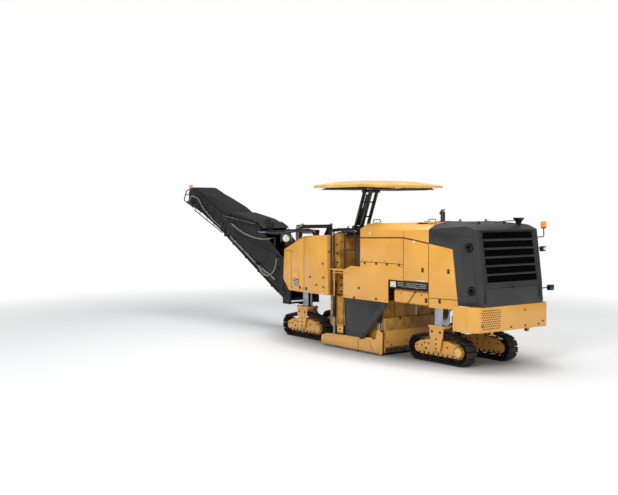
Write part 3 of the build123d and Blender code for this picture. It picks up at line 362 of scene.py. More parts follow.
def pitched(point, angle):
    """Transform that tips a shape about the machine's cross axis at a point."""
    return Matrix.Translation(point) @ Matrix.Rotation(angle, 4, "Y")


def softened(node, width, limit=0.6):
    """Copy of a CAD node with its roomy sharp edges rounded."""
    part = bmesh.new()
    part.from_mesh(frame["nodes"][node].data)
    bmesh.ops.remove_doubles(part, verts=part.verts, dist=0.0001)
    bmesh.ops.dissolve_limit(part, angle_limit=0.01, verts=part.verts, edges=part.edges)
    roomy = [vert for vert in part.verts if min(edge.calc_length() for edge in vert.link_edges) > 2.5
        * width]
    kept = set(roomy)
    sharp = [edge for edge in part.edges if len(edge.link_faces) == 2 and kept.issuperset(edge.verts)
             and edge.calc_face_angle(0.0) > limit]
    bmesh.ops.bevel(part, geom=sharp, offset=width, offset_type="OFFSET", segments=2, profile=0.5,
                    affect="EDGES", clamp_overlap=False, material=-1)
    return part


def ribbon(points, axis, low, high, width):
    """Strip of one width along a line of points, across an axis as for a plate."""
    part = bmesh.new()
    spots = {"X": lambda a, b, c: (c, a, b), "Y": lambda a, b, c: (a, c, b), "Z": lambda a, b,
        c: (a, b, c)}[axis]
    up = Vector(spots(0, 0, 1))
    middle = (low + high) / 2
    for start, end in zip(points, points[1:]):
        here, there = Vector(spots(*start, middle)), Vector(spots(*end, middle))
        run = (there - here).normalized()
        turn = Matrix((run, up.cross(run), up)).transposed().to_4x4()
        size = Matrix.Diagonal(((there - here).length + width, width, high - low, 1.0))
        bmesh.ops.create_cube(part, size=1.0, matrix=Matrix.Translation((here + there) / 2) @ turn @ size)
    return part


def latch(x, y, z, out=1):
    """Paddle latch in its dished frame, on a wall that faces sideways."""
    part = block((x - 0.032, min(y, y + out * 0.008), z - 0.024),
        (x + 0.032, max(y, y + out * 0.008), z + 0.024), 0.003, 1)
    paddle = block((x - 0.022, min(y, y + out * 0.016), z - 0.012),
        (x + 0.02, max(y, y + out * 0.016), z + 0.014), 0.004, 1)
    scratch = bpy.data.meshes.new("scratch")
    paddle.to_mesh(scratch)
    part.from_mesh(scratch)
    bpy.data.meshes.remove(scratch)
    paddle.free()
    return part


def lamp_housing(at, direction, radius):
    """Bowl of a round lamp with its rim."""
    return turned([(0, -radius * 0.9), (radius * 0.55, -radius * 0.85), (radius * 0.9, -radius * 0.3),
        (radius, 0), (radius, radius * 0.12), (radius * 0.9, radius * 0.14), (radius * 0.88, 0.0)], at,
        direction, 24)


def lamp_lens(at, direction, radius):
    """Slightly domed glass of a round lamp."""
    return turned([(radius * 0.88, 0.0), (radius * 0.6, radius * 0.09), (radius * 0.3, radius * 0.13),
                   (0, radius * 0.14)], at, direction, 24)


def from_rear(*points):
    """(x, z) pairs given from the rear leg axis."""
    return [(REAR + x, z) for x, z in points]


def leaned(rise, pivot, inset=0.0):
    """Lets a side panel follow the body, which narrows behind a pivot."""
    return Matrix(((1, 0, 0, 0), (rise, 1, 0, -inset - rise * pivot), (0, 0, 1, 0), (0, 0, 0, 1)))


class Piece:
    """One named piece under construction: its mesh and the finishes of its faces."""

    def __init__(self, name, body, slot, *finishes):
        self.name, self.body, self.slot, self.finishes = name, body, slot, finishes
        self.mesh = bmesh.new()
        self.scratch = bpy.data.meshes.new("scratch")

    def add(self, part, finish=0, both=False, place=None):
        """Joins a part in one of the piece's finishes, with its mirror image if asked."""
        if place:
            bmesh.ops.transform(part, matrix=place, verts=part.verts)
        for face in part.faces:
            face.material_index = finish
        part.to_mesh(self.scratch)
        self.mesh.from_mesh(self.scratch)
        if both:
            bmesh.ops.transform(part, matrix=Matrix.Diagonal((1, -1, 1, 1)), verts=part.verts)
            bmesh.ops.reverse_faces(part, faces=part.faces)
            part.to_mesh(self.scratch)
            self.mesh.from_mesh(self.scratch)
        part.free()
        return self

    def pair(self, part, finish=0, place=None):
        """Joins a part and its mirror image on the other side of the machine."""
        return self.add(part, finish, True, place)

    def cad(self, node, width=0.004, finish=0):
        """Joins a CAD node's own form with softened edges."""
        return self.add(softened(node, width), finish)

    def strip(self, line, wall, proud, width, finish=0, lean=None):
        """Joins a strip along (x, z) points that stands proud of a side wall, on both sides."""
        return self.pair(ribbon(line, "Y", wall - 0.001, wall + proud, width), finish, lean)

    def side_bolts(self, wall, across, finish, *spots, lean=None, datum=REAR):
        """Joins bolts on a side wall at (x, z) spots from a datum, on both sides."""
        for x, z in spots:
            self.pair(bolt((datum + x, wall, z), ACROSS, across), finish, lean)

    def side_latches(self, wall, finish, *spots, lean=None):
        """Joins latches on a side wall at (x, z) spots from the rear leg axis, on both sides."""
        for x, z in spots:
            self.pair(latch(REAR + x, wall, z), finish, lean)

    def bolt_circle(self, centre, radius, count, normal, across, finish, start=0.0):
        """Joins a circle of bolts that face along an axis."""
        x, y, z = centre
        for number in range(count):
            turn = (number + start) * tau / count
            swing, rise = radius * cos(turn), radius * sin(turn)
            at = (x + swing, y, z + rise) if normal[1] else (x + swing, y + rise, z)
            self.add(bolt(at, normal, across), finish)

    def done(self, *nodes):
        """Turns the work into an object that rides on its body and stands for CAD nodes."""
        mesh = bpy.data.meshes.new(self.name)
        self.mesh.to_mesh(mesh)
        self.mesh.free()
        bpy.data.meshes.remove(self.scratch)
        for finish in self.finishes:
            mesh.materials.append(bpy.data.materials[finish])
        mesh.shade_smooth()
        mesh.set_sharp_from_angle(angle=CRISP)
        made = bpy.data.objects.new(self.name, mesh)
        bpy.context.scene.collection.objects.link(made)
        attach(made, self.body)
        if nodes:
            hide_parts(*nodes)
        return made


def sloped(origin, tilt, along, above, y=0.0):
    """Point at a distance along a sloping section and above its datum line."""
    return Vector((origin.x + along * cos(tilt) - above * sin(tilt), y,
                   origin.z + along * sin(tilt) + above * cos(tilt)))


def boom(along, above, y=0.0):
    return sloped(BOOM_PIN, BOOM_TILT, along, above, y)


def nose(along, above, y=0.0):
    return sloped(KNEE, NOSE_TILT, along, above, y)


def flat(points):
    """(x, z) pairs of points."""
    return [(point[0], point[2]) for point in points]


# ---- Settings ---------------------------------------------------------------------
class PlanerFinishes(bpy.types.PropertyGroup):
    yellow_paint: bpy.props.StringProperty(name="Body Yellow",
        description="sRGB hex colour of the powder-coated body panels", default="#E3A547")
    black_paint: bpy.props.StringProperty(name="Hood Grey",
        description="sRGB hex colour of the rear hood and the drum side covers", default="#2A2A2B")
    beacon_amber: bpy.props.StringProperty(
        name="Beacon Amber", description="sRGB hex colour of the warning beacons", default="#F08A24")


class PlanerSizes(bpy.types.PropertyGroup):
    # The dark strips in these seams are painted shade of the gaps.
    seam_width: bpy.props.FloatProperty(
        name="Panel Seam", description="Width of the sealed gaps between body panels",
        default=0.012, min=0.003, max=0.03, unit="LENGTH", subtype="DISTANCE")
    panel_lift: bpy.props.FloatProperty(
        name="Panel Lift", description="How far doors and covers stand proud of the body",
        default=0.006, min=0.002, max=0.012, unit="LENGTH", subtype="DISTANCE")
    bolt_across: bpy.props.FloatProperty(
        name="Bolt Size", description="Width across the flats of the common bolt head",
        default=0.03, min=0.015, max=0.05, unit="LENGTH", subtype="DISTANCE")
    shoe_count: bpy.props.IntProperty(name="Shoes per Track",
        description="Number of track pads on each crawler", default=27, min=20, max=36)
    guide_height: bpy.props.FloatProperty(
        name="Camera Height", description="Height of the camera above the ground",
        default=3.493, min=0.5, max=10.0, unit="LENGTH", subtype="DISTANCE")


def settings(context):
    return context.scene.planer_sizes, context.scene.planer_finishes


# ---- Stage ------------------------------------------------------------------------
# Half width of the floor, and where its way into plain white starts and ends, in metres.
FLOOR_HALF, WHITE_FROM, WHITE_AT = 400.0, 7.0, 17.0
# Camera: focal length in millimetres, place on the ground plan, turn to the right and dip in radians.
FOCAL_LENGTH, CAMERA_PLACE, YAW, DIP = 53.07, (-20.191, 15.466), 0.642, 0.042


class PLANER_OT_stage(bpy.types.Operator):
    """Pale floor, soft studio light and the camera"""
    bl_idname = "planer.stage"
    bl_label = "Stage"

    def execute(self, context):
        sizes, colours = settings(context)
        make_finishes(colours)
        # Seamless paper: takes the soft shadow near the machine and runs out into plain white.
        tree, shader, place = coated("studio_floor", "#F4F4F4", "#F2F2F2", 0.0, 0.9, 9000, 900, 0.02)
        shader.inputs["Specular IOR Level"].default_value = 0.0
        reach = wire(tree, "VectorMath", {"operation": "LENGTH"}, {0: place}).outputs["Value"]
        # The machine's own length and width shape a painted shadow: the soft grey pool in the floor's colour
        # that it stands in.
        painted_shadow_place = wire(tree, "Mapping", inputs={"Vector": place, "Location": (0.62, 0.0, 0.0),
            "Scale": (0.20, 0.42, 1.0)}).outputs["Vector"]
        painted_shadow_reach = wire(tree, "VectorMath", {"operation": "LENGTH"}, {0: painted_shadow_place}).outputs["Value"]
        tree.links.new(ramp(tree, painted_shadow_reach, 0.40, 2.3, linear("#85868B"), linear("#E6E7E8")),
            shader.inputs["Base Color"])
        fade = wire(tree, "MapRange", {"interpolation_type": "SMOOTHSTEP"},
            {"Value": reach, "From Min": WHITE_FROM, "From Max": WHITE_AT}).outputs["Result"]
        white = wire(tree, "Emission", inputs={"Color": (1, 1, 1, 1), "Strength": 1.0})
        blend = wire(tree, "MixShader", inputs={0: fade, 1: shader.outputs["BSDF"], 2: white.outputs[0]})
        out = next(node for node in tree.nodes if node.bl_idname == "ShaderNodeOutputMaterial")
        tree.links.new(blend.outputs[0], out.inputs["Surface"])
        floor_mesh = bpy.data.meshes.new("studio_floor")
        ground = bmesh.new()
        bmesh.ops.create_grid(ground, x_segments=4, y_segments=4, size=FLOOR_HALF)
        ground.to_mesh(floor_mesh)
        ground.free()
        floor_mesh.materials.append(bpy.data.materials["studio_floor"])
        floor = bpy.data.objects.new("studio_floor", floor_mesh)
        context.scene.collection.objects.link(floor)

        world = bpy.data.worlds.new("studio_sky")
        world.use_nodes = True
        tree = world.node_tree
        tree.nodes.clear()
        rays = wire(tree, "LightPath").outputs
        seen = wire(tree, "Math", {"operation": "MAXIMUM"},
            {0: rays["Is Camera Ray"], 1: rays["Is Transmission Ray"]})
        # Mirrors see a studio of dark and light flags instead of an even glow.
        course = wire(tree, "TexCoord").outputs["Generated"]
        turned_by = wire(tree, "Mapping", inputs={"Vector": course, "Rotation": (0.0, 0.0, 0.55)})
        flags = wire(tree, "TexWave", {"bands_direction": "X"},
            {"Vector": turned_by.outputs["Vector"], "Scale": 0.55, "Distortion": 1.5, "Detail Scale": 0.6})
        tone = ramp(tree, flags.outputs["Fac"], 0.42, 0.62, linear("#15171A"), linear("#E9ECEF"))
        plain = wire(tree, "Mix", {"data_type": "RGBA"}, {"Factor": rays["Is Glossy Ray"], 6: (1, 1, 1, 1),
            7: tone}).outputs[2]
        shade = wire(tree, "Background", inputs={"Color": plain, "Strength": 0.5})
        white = wire(tree, "Background", inputs={"Color": (1, 1, 1, 1), "Strength": 1.0})
        mixed = wire(tree, "MixShader", inputs={"Fac": seen.outputs[0], 1: shade.outputs[0],
            2: white.outputs[0]})
        wire(tree, "OutputWorld", inputs={"Surface": mixed.outputs[0]})
        context.scene.world = world

        lamps = [
            # name, where it stands, what it faces, size, watts
            ("key_softbox", (-13.0, 17.0, 13.0), (-2.5, 0.0, 1.5), 7.0, 2200.0),
            ("rear_softbox", (-22.0, -2.0, 7.0), (-6.0, 0.0, 1.8), 5.0, 420.0),
            ("top_softbox", (-2.0, 0.0, 15.0), (-2.0, 0.0, 0.0), 12.0, 1500.0),
        ]
        for name, stands, faces, size, watts in lamps:
            lamp = bpy.data.lights.new(name, "AREA")
            lamp.shape, lamp.size, lamp.energy = "DISK", size, watts
            holder = bpy.data.objects.new(name, lamp)
            holder.location = stands
            holder.rotation_euler = (Vector(faces) - Vector(stands)).to_track_quat("-Z", "Y").to_euler()
            context.scene.collection.objects.link(holder)

        lens = bpy.data.cameras.new("studio_camera")
        lens.lens, lens.sensor_width = FOCAL_LENGTH, 36.0
        lens.clip_end = 1000.0
        camera = bpy.data.objects.new("studio_camera", lens)
        camera.location = (*CAMERA_PLACE, sizes.guide_height)
        look = Vector((cos(YAW) * cos(DIP), -sin(YAW) * cos(DIP), -sin(DIP)))
        camera.rotation_euler = look.to_track_quat("-Z", "Y").to_euler()
        context.scene.collection.objects.link(camera)
        context.scene.camera = camera
        context.scene.view_settings.view_transform = "Standard"
        return {"FINISHED"}


# ---- Running gear -----------------------------------------------------------------
LEGS = [
    # name, axis x, side, chrome radius
    ("rear_left", REAR, 1, 0.19),
    ("rear_right", REAR, -1, 0.19),
    ("front_left", FRONT, 1, 0.125),
    ("front_right", FRONT, -1, 0.125),
]
LOOP = [
    # wheel centre along the track, its height, radius of the loop there
    (-0.65, 0.30, 0.30),
    (0.65, 0.30, 0.30),
    (0.26, 0.47, 0.22),
    (-0.26, 0.47, 0.22),
]


def loop_stops(count, inset):
    """Evenly spaced stops on the track loop: (x, z, angle of the outward normal)."""
    angles = []
    for here, there in zip(LOOP, LOOP[1:] + LOOP[:1]):
        span_x, span_z = there[0] - here[0], there[1] - here[1]
        lean = asin((here[2] - there[2]) / hypot(span_x, span_z))
        angles.append(atan2(span_z, span_x) - pi / 2 + lean)
    legs = []
    for index, (x, z, radius) in enumerate(LOOP):
        come, go = angles[index - 1], angles[index]
        swing = (go - come) % tau
        reach = radius - inset
        legs.append((reach * swing, x, z, reach, come, swing))
        x2, z2, radius2 = LOOP[(index + 1) % len(LOOP)]
        start = (x + reach * cos(go), z + reach * sin(go))
        end = (x2 + (radius2 - inset) * cos(go), z2 + (radius2 - inset) * sin(go))
        legs.append((hypot(end[0] - start[0], end[1] - start[1]), start, end, None, go, 0.0))
    whole = sum(leg[0] for leg in legs)
    stops = []
    for number in range(count):
        left = whole * (number + 0.5) / count
        for length, a, b, reach, come, swing in legs:
            if left <= length:
                break
            left -= length
        share = left / length
        if reach is None:
            stops.append((a[0] + share * (b[0] - a[0]), a[1] + share * (b[1] - a[1]), come))
        else:
            turn = come + share * swing
            stops.append((a + reach * cos(turn), b + reach * sin(turn), turn))
    return stops, whole / count


class PLANER_OT_track_chains(bpy.types.Operator):
    """Track pads, grouser plates and link pairs around each crawler"""
    bl_idname = "planer.track_chains"
    bl_label = "Track Chains"

    def execute(self, context):
        sizes = context.scene.planer_sizes
        for name, x, side, _ in LEGS:
            work = Piece(f"track_pads_{name}", f"track_{name}", "black_paint", "track_pad_rubber",
                "forged_steel")
            stops, pitch = loop_stops(sizes.shoe_count, 0.02)
            y = side * LEG_Y
            for along, height, turn in stops:
                place = (pitched((x + along, y, height), pi / 2 - turn))
                half = pitch * 0.45
                work.add(plate([(-half, -0.012), (half, -0.012), (half - 0.012, 0.019),
                    (-half + 0.012, 0.019)], "Y", -0.148, 0.148, 0.006), 0, place=place)
                work.add(block((-half, -0.13, -0.03), (half, 0.13, -0.012), 0.003, 1), 1, place=place)
                for lug in (-0.055, 0.055):
                    work.add(block((-pitch * 0.52, lug - 0.012, -0.075), (pitch * 0.4, lug + 0.012, -0.03),
                        0.006, 1), 1, place=place)
                work.add(bar((0, -0.08, -0.055), (0, 0.08, -0.055), 0.016, 0.003, 10), 1, place=place)
            work.done(f"track_chain_{name}")
        return {"FINISHED"}


class PLANER_OT_track_frames(bpy.types.Operator):
    """Roller frames, final drives and the yokes over the crawlers"""
    bl_idname = "planer.track_frames"
    bl_label = "Track Frames"

    def execute(self, context):
        across = context.scene.planer_sizes.bolt_across
        for name, x, side, _ in LEGS:
            y = side * LEG_Y
            work = Piece(f"roller_frame_{name}", f"track_{name}", "yellow_paint", "yellow_powder_coat",
                "forged_steel", "black_gloss_enamel", "yellow_coat_shade_and_dust", "gel_coat_yellow")
            for out in (1, -1):
                face = y + out * side * 0.112
                near, far = sorted((face, face - out * side * 0.016))
                cheek = [(x - 0.62, 0.165), (x + 0.62, 0.165), (x + 0.74, 0.21), (x + 0.775, 0.30),
                    (x + 0.74, 0.39), (x + 0.62, 0.44), (x + 0.30, 0.52), (x - 0.30, 0.52), (x - 0.62, 0.44),
                    (x - 0.74, 0.39), (x - 0.775, 0.30), (x - 0.74, 0.21)]
                work.add(plate(cheek, "Y", near, far, 0.005))
                skin = face + out * side * 0.008
                low, high = sorted((face, skin))
                for start, end, top in ((-0.60, -0.27, 0.42), (0.27, 0.46, 0.45), (0.49, 0.70, 0.38)):
                    work.add(plate([(x + start, 0.225), (x + end, 0.225), (x + end, top), (x + start, top)],
                        "Y", low, high, 0.003))
                    for spot in (start + 0.035, end - 0.035):
                        work.add(bolt((x + spot, skin, top - 0.03), (0, out * side, 0), across * 0.8), 1)
                for number in range(9):
                    work.add(bolt((x - 0.60 + number * 0.15, face, 0.195), (0, out * side, 0), across), 1)
                # Grease cup and the round cap over the idler's tension screw.
                work.add(bar((x + 0.38, face, 0.30), (x + 0.38, face + out * side * 0.02, 0.30), 0.028,
                    0.004, 16), 2)
            work.add(block((x - 0.60, y - 0.097, 0.17), (x + 0.60, y + 0.097, 0.47), 0.006))
            for number in range(5):
                spot = x - 0.52 + number * 0.26
                work.add(turned([(0, -0.09), (0.075, -0.09), (0.075, -0.06), (0.062, -0.055), (0.062, 0.055),
                    (0.075, 0.06), (0.075, 0.09), (0, 0.09)], (spot, y, 0.178), ACROSS, 18), 1)
            for end, teeth in ((-0.65, True), (0.65, False)):
                rim = 0.178 if teeth else 0.188
                work.add(turned([(0, -0.045), (rim - 0.03, -0.045), (rim, -0.03), (rim, 0.03),
                    (rim - 0.03, 0.045), (0, 0.045)], (x + end, y, 0.30), ACROSS, 30), 1)
                if teeth:
                    for tooth in range(13):
                        turn = pitched((x + end, y, 0.30), tooth * tau / 13)
                        work.add(plate([(-0.03, 0.17), (0.03, 0.17), (0.014, 0.205), (-0.014, 0.205)], "Y",
                            -0.024, 0.024, 0.004, 1), 1, place=turn)
            # Final drive: stepped drum with a ring of cap screws, standing just proud of the pads.
            work.add(turned([(0, 0.10), (0.155, 0.10), (0.155, 0.125), (0.128, 0.13), (0.124, 0.150),
                (0.0, 0.152)], (x - 0.65, y, 0.31), (0, side, 0), 36), 3)
            work.add(turned([(0, 0.150), (0.106, 0.150), (0.104, 0.164), (0.092, 0.170), (0.0, 0.170)],
                (x - 0.65, y, 0.31), (0, side, 0), 36), 4)
            work.bolt_circle((x - 0.65, y + side * 0.125, 0.31), 0.142, 10, (0, side, 0), across * 0.6, 1)
            # Yoke: two tapered plates over the crawler, the trunnion and the slewing head above it.
            outline = [(x - 0.12, 0.27), (x + 0.12, 0.27), (x + 0.15, 0.42), (x + 0.215, 0.64),
                (x + 0.215, 0.80), (x - 0.215, 0.80), (x - 0.215, 0.64), (x - 0.15, 0.42)]
            for out in (1, -1):
                near, far = sorted((y + out * 0.158, y + out * 0.184))
                work.add(plate(outline, "Y", near, far, 0.006))
                for spot in (-0.13, 0.13):
                    work.add(bar((x + spot, y + out * 0.18, 0.715), (x + spot, y + out * 0.1875, 0.715),
                        0.034, 0.002, 18), 2)
                    work.add(bar((x + spot, y + out * 0.185, 0.715), (x + spot, y + out * 0.190, 0.715),
                        0.017, 0.002, 12), 1)
                for height in (0.33, 0.44, 0.55):
                    work.add(bolt((x, y + out * 0.184, height), (0, out, 0), across * 0.9), 1)
            work.add(block((x - 0.25, y - 0.184, 0.80), (x + 0.25, y + 0.184, 0.858), 0.008))
            work.add(bar((x, y - 0.155, 0.34), (x, y + 0.155, 0.34), 0.06, 0.004, 24), 1)
            for corner_x in (-0.215, 0.215):
                for corner_y in (-0.15, 0.15):
                    work.add(bolt((x + corner_x, y + corner_y, 0.858), UP, across), 1)
            # Drive hoses from the final drive up to the yoke.
            for shift in (0.0, 0.035):
                work.add(pipe([(x - 0.50 + shift, y - side * 0.02, 0.50),
                    (x - 0.42 + shift, y - side * 0.02, 0.74), (x - 0.22, y - side * (0.03 + shift), 0.83)],
                    0.014, 0.05, 8), 2)
            work.done(f"track_frame_{name}")
        return {"FINISHED"}


class PLANER_OT_legs(bpy.types.Operator):
    """Chrome lifting columns with their wiper rings and the sleeves in the chassis"""
    bl_idname = "planer.legs"
    bl_label = "Lifting Columns"

    def execute(self, context):
        sleeves = Piece("column_sleeves", "chassis", "dark_steel", "black_conveyor_coat", "forged_steel")
        for name, x, side, chrome in LEGS:
            y = side * LEG_Y
            column = Piece(f"chrome_column_{name}", f"leg_{name}", "chrome", "hard_chrome", "forged_steel")
            column.add(turned([(0, 0.862), (chrome - 0.0005, 0.862), (chrome - 0.0005, 0.885),
                (chrome - 0.004, 0.888), (chrome - 0.004, 1.94), (chrome - 0.012, 1.948), (0, 1.948)],
                (x, y, 0), UP, 48))
            column.done(f"leg_column_{name}")
            sleeves.add(turned([(chrome + 0.002, 1.302), (chrome + 0.045, 1.302), (chrome + 0.062, 1.308),
                (chrome + 0.062, 1.365), (chrome + 0.042, 1.37), (chrome + 0.041, 1.5),
                (chrome + 0.0415, 2.398), (chrome + 0.001, 2.398), (chrome + 0.001, 1.5),
                (chrome + 0.002, 1.302)], (x, y, 0), UP, 40))
            sleeves.bolt_circle((x, y, 1.304), chrome + 0.032, 8, (0, 0, -1), 0.02, 1, 0.5)
        sleeves.done()
        return {"FINISHED"}


# ---- Hoses that hang --------------------------------------------------------------
HOSE_Y = 0.53
HOSES = {
    "upper": [(3.789, 3.057), (3.485, 2.905), (3.085, 2.765), (2.635, 2.665), (2.235, 2.620), (1.885, 2.615),
              (1.615, 2.650)],
    "lower": [(1.355, 2.090), (1.365, 1.910), (1.455, 1.740), (1.605, 1.610), (1.805, 1.545), (2.015, 1.580),
              (2.185, 1.690), (2.325, 1.840)],
}


class PLANER_OT_hoses(bpy.types.Operator):
    """The two free hydraulic hoses along the loading conveyor"""
    bl_idname = "planer.hoses"
    bl_label = "Hanging Hoses"

    def execute(self, context):
        for name, length in (("upper", 2.25), ("lower", 1.39)):
            route = HOSES[name]
            curve = bpy.data.curves.new(f"conveyor_hose_{name}", "CURVE")
            curve.dimensions = "3D"
            spline = curve.splines.new("NURBS")
            spline.points.add(len(route) - 1)
            for point, (x, z) in zip(spline.points, route):
                point.co = (x, HOSE_Y, z, 1.0)
            spline.order_u = 3
            spline.use_endpoint_u = True
            spline.resolution_u = 10
            curve.bevel_depth = HOSE_THICK / 2
            curve.bevel_resolution = 3
            curve.use_fill_caps = True
            curve.materials.append(bpy.data.materials["hose_rubber"])
            made = bpy.data.objects.new(f"conveyor_hose_{name}", curve)
            context.scene.collection.objects.link(made)
            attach(made, "conveyor_boom")
            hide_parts(f"boom_hose_{name}")
        return {"FINISHED"}


# ---- Engine body ------------------------------------------------------------------
MID_LEAN = leaned(0.0789, REAR + 0.68)
TAIL_LEAN = leaned(0.1516, REAR - 0.08, 0.06)
HOOD_SEAM = from_rear((2.215, 2.80), (0.68, 2.84))
MID_SEAM = from_rear((0.68, 2.84), (-0.08, 2.73))


class PLANER_OT_engine_sides(bpy.types.Operator):
    """Side panels with doors, seams and latches, the service recess and the tank under it"""
    bl_idname = "planer.engine_sides"
    bl_label = "Engine Sides"

    def execute(self, context):
        sizes = context.scene.planer_sizes
        face, lift, gap, across = BODY_HALF, sizes.panel_lift, sizes.seam_width, sizes.bolt_across
        work = Piece("engine_side_panels", "chassis", "yellow_paint", *PANEL_FINISHES)
        work.cad("engine_sides")
        doors = [
            # outline from the rear leg axis, how it leans
            (((0.69, 2.235), (2.205, 2.235), (2.205, 2.785), (0.69, 2.822)), None),
            (((1.215, 1.315), (2.835, 1.315), (2.835, 1.975), (2.57, 2.085), (2.205, 2.085), (2.205, 2.222),
              (0.69, 2.222), (0.69, 1.865), (1.215, 1.865)), None),
            (((-0.07, 1.865), (0.67, 1.865), (0.67, 2.822), (-0.07, 2.715)), MID_LEAN),
            (((-0.86, 1.52), (-0.09, 1.52), (-0.09, 2.70), (-0.705, 2.60)), TAIL_LEAN),
            (((-0.875, 1.31), (-0.09, 1.31), (-0.09, 1.507), (-0.86, 1.507)), TAIL_LEAN),
        ]
        for outline, lean in doors:
            work.pair(plate(from_rear(*outline), "Y", face - 0.002, face + lift, 0.003), 0, lean)
        # Dark strips along the seams and the crease: painted shade of the gaps and the fold.
        seams = [
            (from_rear((0.69, 2.2285), (2.205, 2.2285)), None),
            (from_rear((0.68, 1.86), (0.68, 2.82)), None),
            (from_rear((-0.07, 1.8625), (0.67, 1.8625)), MID_LEAN),
            (from_rear((-0.08, 1.31), (-0.08, 2.715)), TAIL_LEAN),
            (from_rear((-0.86, 1.5135), (-0.09, 1.5135)), TAIL_LEAN),
            ([(x, z - 0.009) for x, z in HOOD_SEAM], None),
            ([(x, z - 0.009) for x, z in MID_SEAM], MID_LEAN),
        ]
        for line, lean in seams:
            work.strip(line, face, 0.0015, gap, 1, lean)
        work.side_latches(face + lift, 2, (2.26, 1.58), (2.44, 1.33), (1.62, 1.36))
        for x, z, lean in ((0.09, 2.13, MID_LEAN), (-0.62, 2.13, TAIL_LEAN), (-0.02, 1.45, TAIL_LEAN),
                (-0.39, 1.46, TAIL_LEAN)):
            for shift in (0.026, -0.026):
                work.pair(latch(REAR + x, face + lift, z + shift), 2, lean)
        work.side_latches(face + lift, 2, (2.04, 2.195), (1.62, 2.197), (1.24, 2.198), (0.82, 2.2))
        for x in (0.80, 1.30, 1.80, 2.14):
            work.pair(bolt((REAR + x, face + lift, 2.27), ACROSS, across * 0.5), 4)
        work.side_bolts(face + lift, across * 0.5, 4, (2.78, 1.36), (2.78, 1.66), (2.78, 1.92), (1.28, 1.36),
            (0.74, 1.92), (0.74, 2.17))
        # Hinges along the rear upright of the middle and the rear door.
        for height in (2.02, 2.58):
            for x, lean in ((0.62, MID_LEAN), (-0.14, TAIL_LEAN)):
                work.pair(bar((REAR + x, face + lift + 0.004, height - 0.04),
                    (REAR + x, face + lift + 0.004, height + 0.04), 0.009, 0.002, 12), 0, lean)
                work.pair(block((REAR + x - 0.03, face + lift - 0.001, height - 0.035),
                    (REAR + x + 0.03, face + lift + 0.004, height + 0.035), 0.002, 1), 0, lean)
        # Strip light under the middle door, the drip ledge and round reflectors.
        work.pair(block((REAR + 0.02, face - 0.004, 1.868), (REAR + 0.27, face + 0.012, 1.892), 0.004), 3,
            MID_LEAN)
        for x, z, lean in ((1.86, 2.92, None), (0.35, 2.76, MID_LEAN)):
            work.pair(bar((REAR + x, face, z), (REAR + x, face + lift + 0.004, z), 0.026, 0.002, 18), 3,
                lean)
        work.done("engine_sides")

        recess = Piece("service_recess", "chassis", "black_paint", "black_conveyor_coat", "hose_rubber",
            "forged_steel", "lamp_glass", "yellow_powder_coat", "black_gloss_enamel")
        rear, front = REAR - 0.075, REAR + 1.19
        recess.pair(block((rear, 1.150, 1.652), (front, 1.186, 1.848), 0.004))
        recess.pair(block((rear, 1.18, 1.652), (front, 1.236, 1.662), 0.002, 1), 5)
        for z, sag in ((1.80, 0.0), (1.765, 0.012), (1.73, 0.02)):
            recess.pair(pipe([(rear + 0.05, 1.205, z), (rear + 0.35, 1.212, z - sag),
                (rear + 0.7, 1.205, z - sag * 0.4), (front - 0.28, 1.205, z)], 0.012, 0.2, 8), 1)
        for x in (0.18, 0.62):
            recess.pair(block((REAR + x, 1.186, 1.68), (REAR + x + 0.10, 1.216, 1.83), 0.006), 5)
            recess.pair(bar((REAR + x + 0.05, 1.216, 1.755), (REAR + x + 0.05, 1.235, 1.755), 0.02, 0.003,
                14), 2)
        recess.pair(block((REAR + 0.93, 1.186, 1.672), (REAR + 1.16, 1.228, 1.835), 0.008), 5)
        recess.pair(block((REAR + 0.95, 1.228, 1.69), (REAR + 1.14, 1.236, 1.817), 0.006), 3)
        for z in (1.72, 1.754, 1.788):
            recess.pair(ribbon([(REAR + 0.955, z), (REAR + 1.135, z)], "Y", 1.235, 1.2375, 0.005), 5)
        recess.done()

        tanks = Piece("hydraulic_tanks", "chassis", "yellow_paint", "yellow_powder_coat",
            "black_gloss_enamel", "forged_steel", "gap_shade")
        tanks.cad("side_tanks")
        for x in (0.14, 0.82):
            strap = [(1.10, 1.322), (1.165, 1.34), (1.183, 1.39), (1.183, 1.60), (1.17, 1.642)]
            tanks.pair(ribbon(strap, "X", REAR + x - 0.022, REAR + x + 0.022, 0.006))
            tanks.pair(bolt((REAR + x, 1.184, 1.56), ACROSS, across * 0.7), 2)
        tanks.pair(bar((REAR + 0.34, 1.197, 1.61), (REAR + 0.60, 1.197, 1.32), 0.008, 0.002, 10), 1)
        for x, z in ((0.34, 1.61), (0.60, 1.325)):
            tanks.pair(bar((REAR + x, 1.178, z), (REAR + x, 1.206, z), 0.016, 0.003, 12), 2)
        tanks.pair(turned([(0, 0.0), (0.055, 0.0), (0.055, 0.03), (0.045, 0.036), (0, 0.036)],
            (REAR + 0.93, 1.02, 1.648), UP, 20), 1)
        tanks.pair(bar((REAR + 0.48, 1.05, 1.323), (REAR + 0.48, 1.05, 1.30), 0.03, 0.004, 6), 2)
        tanks.done("side_tanks")
        return {"FINISHED"}


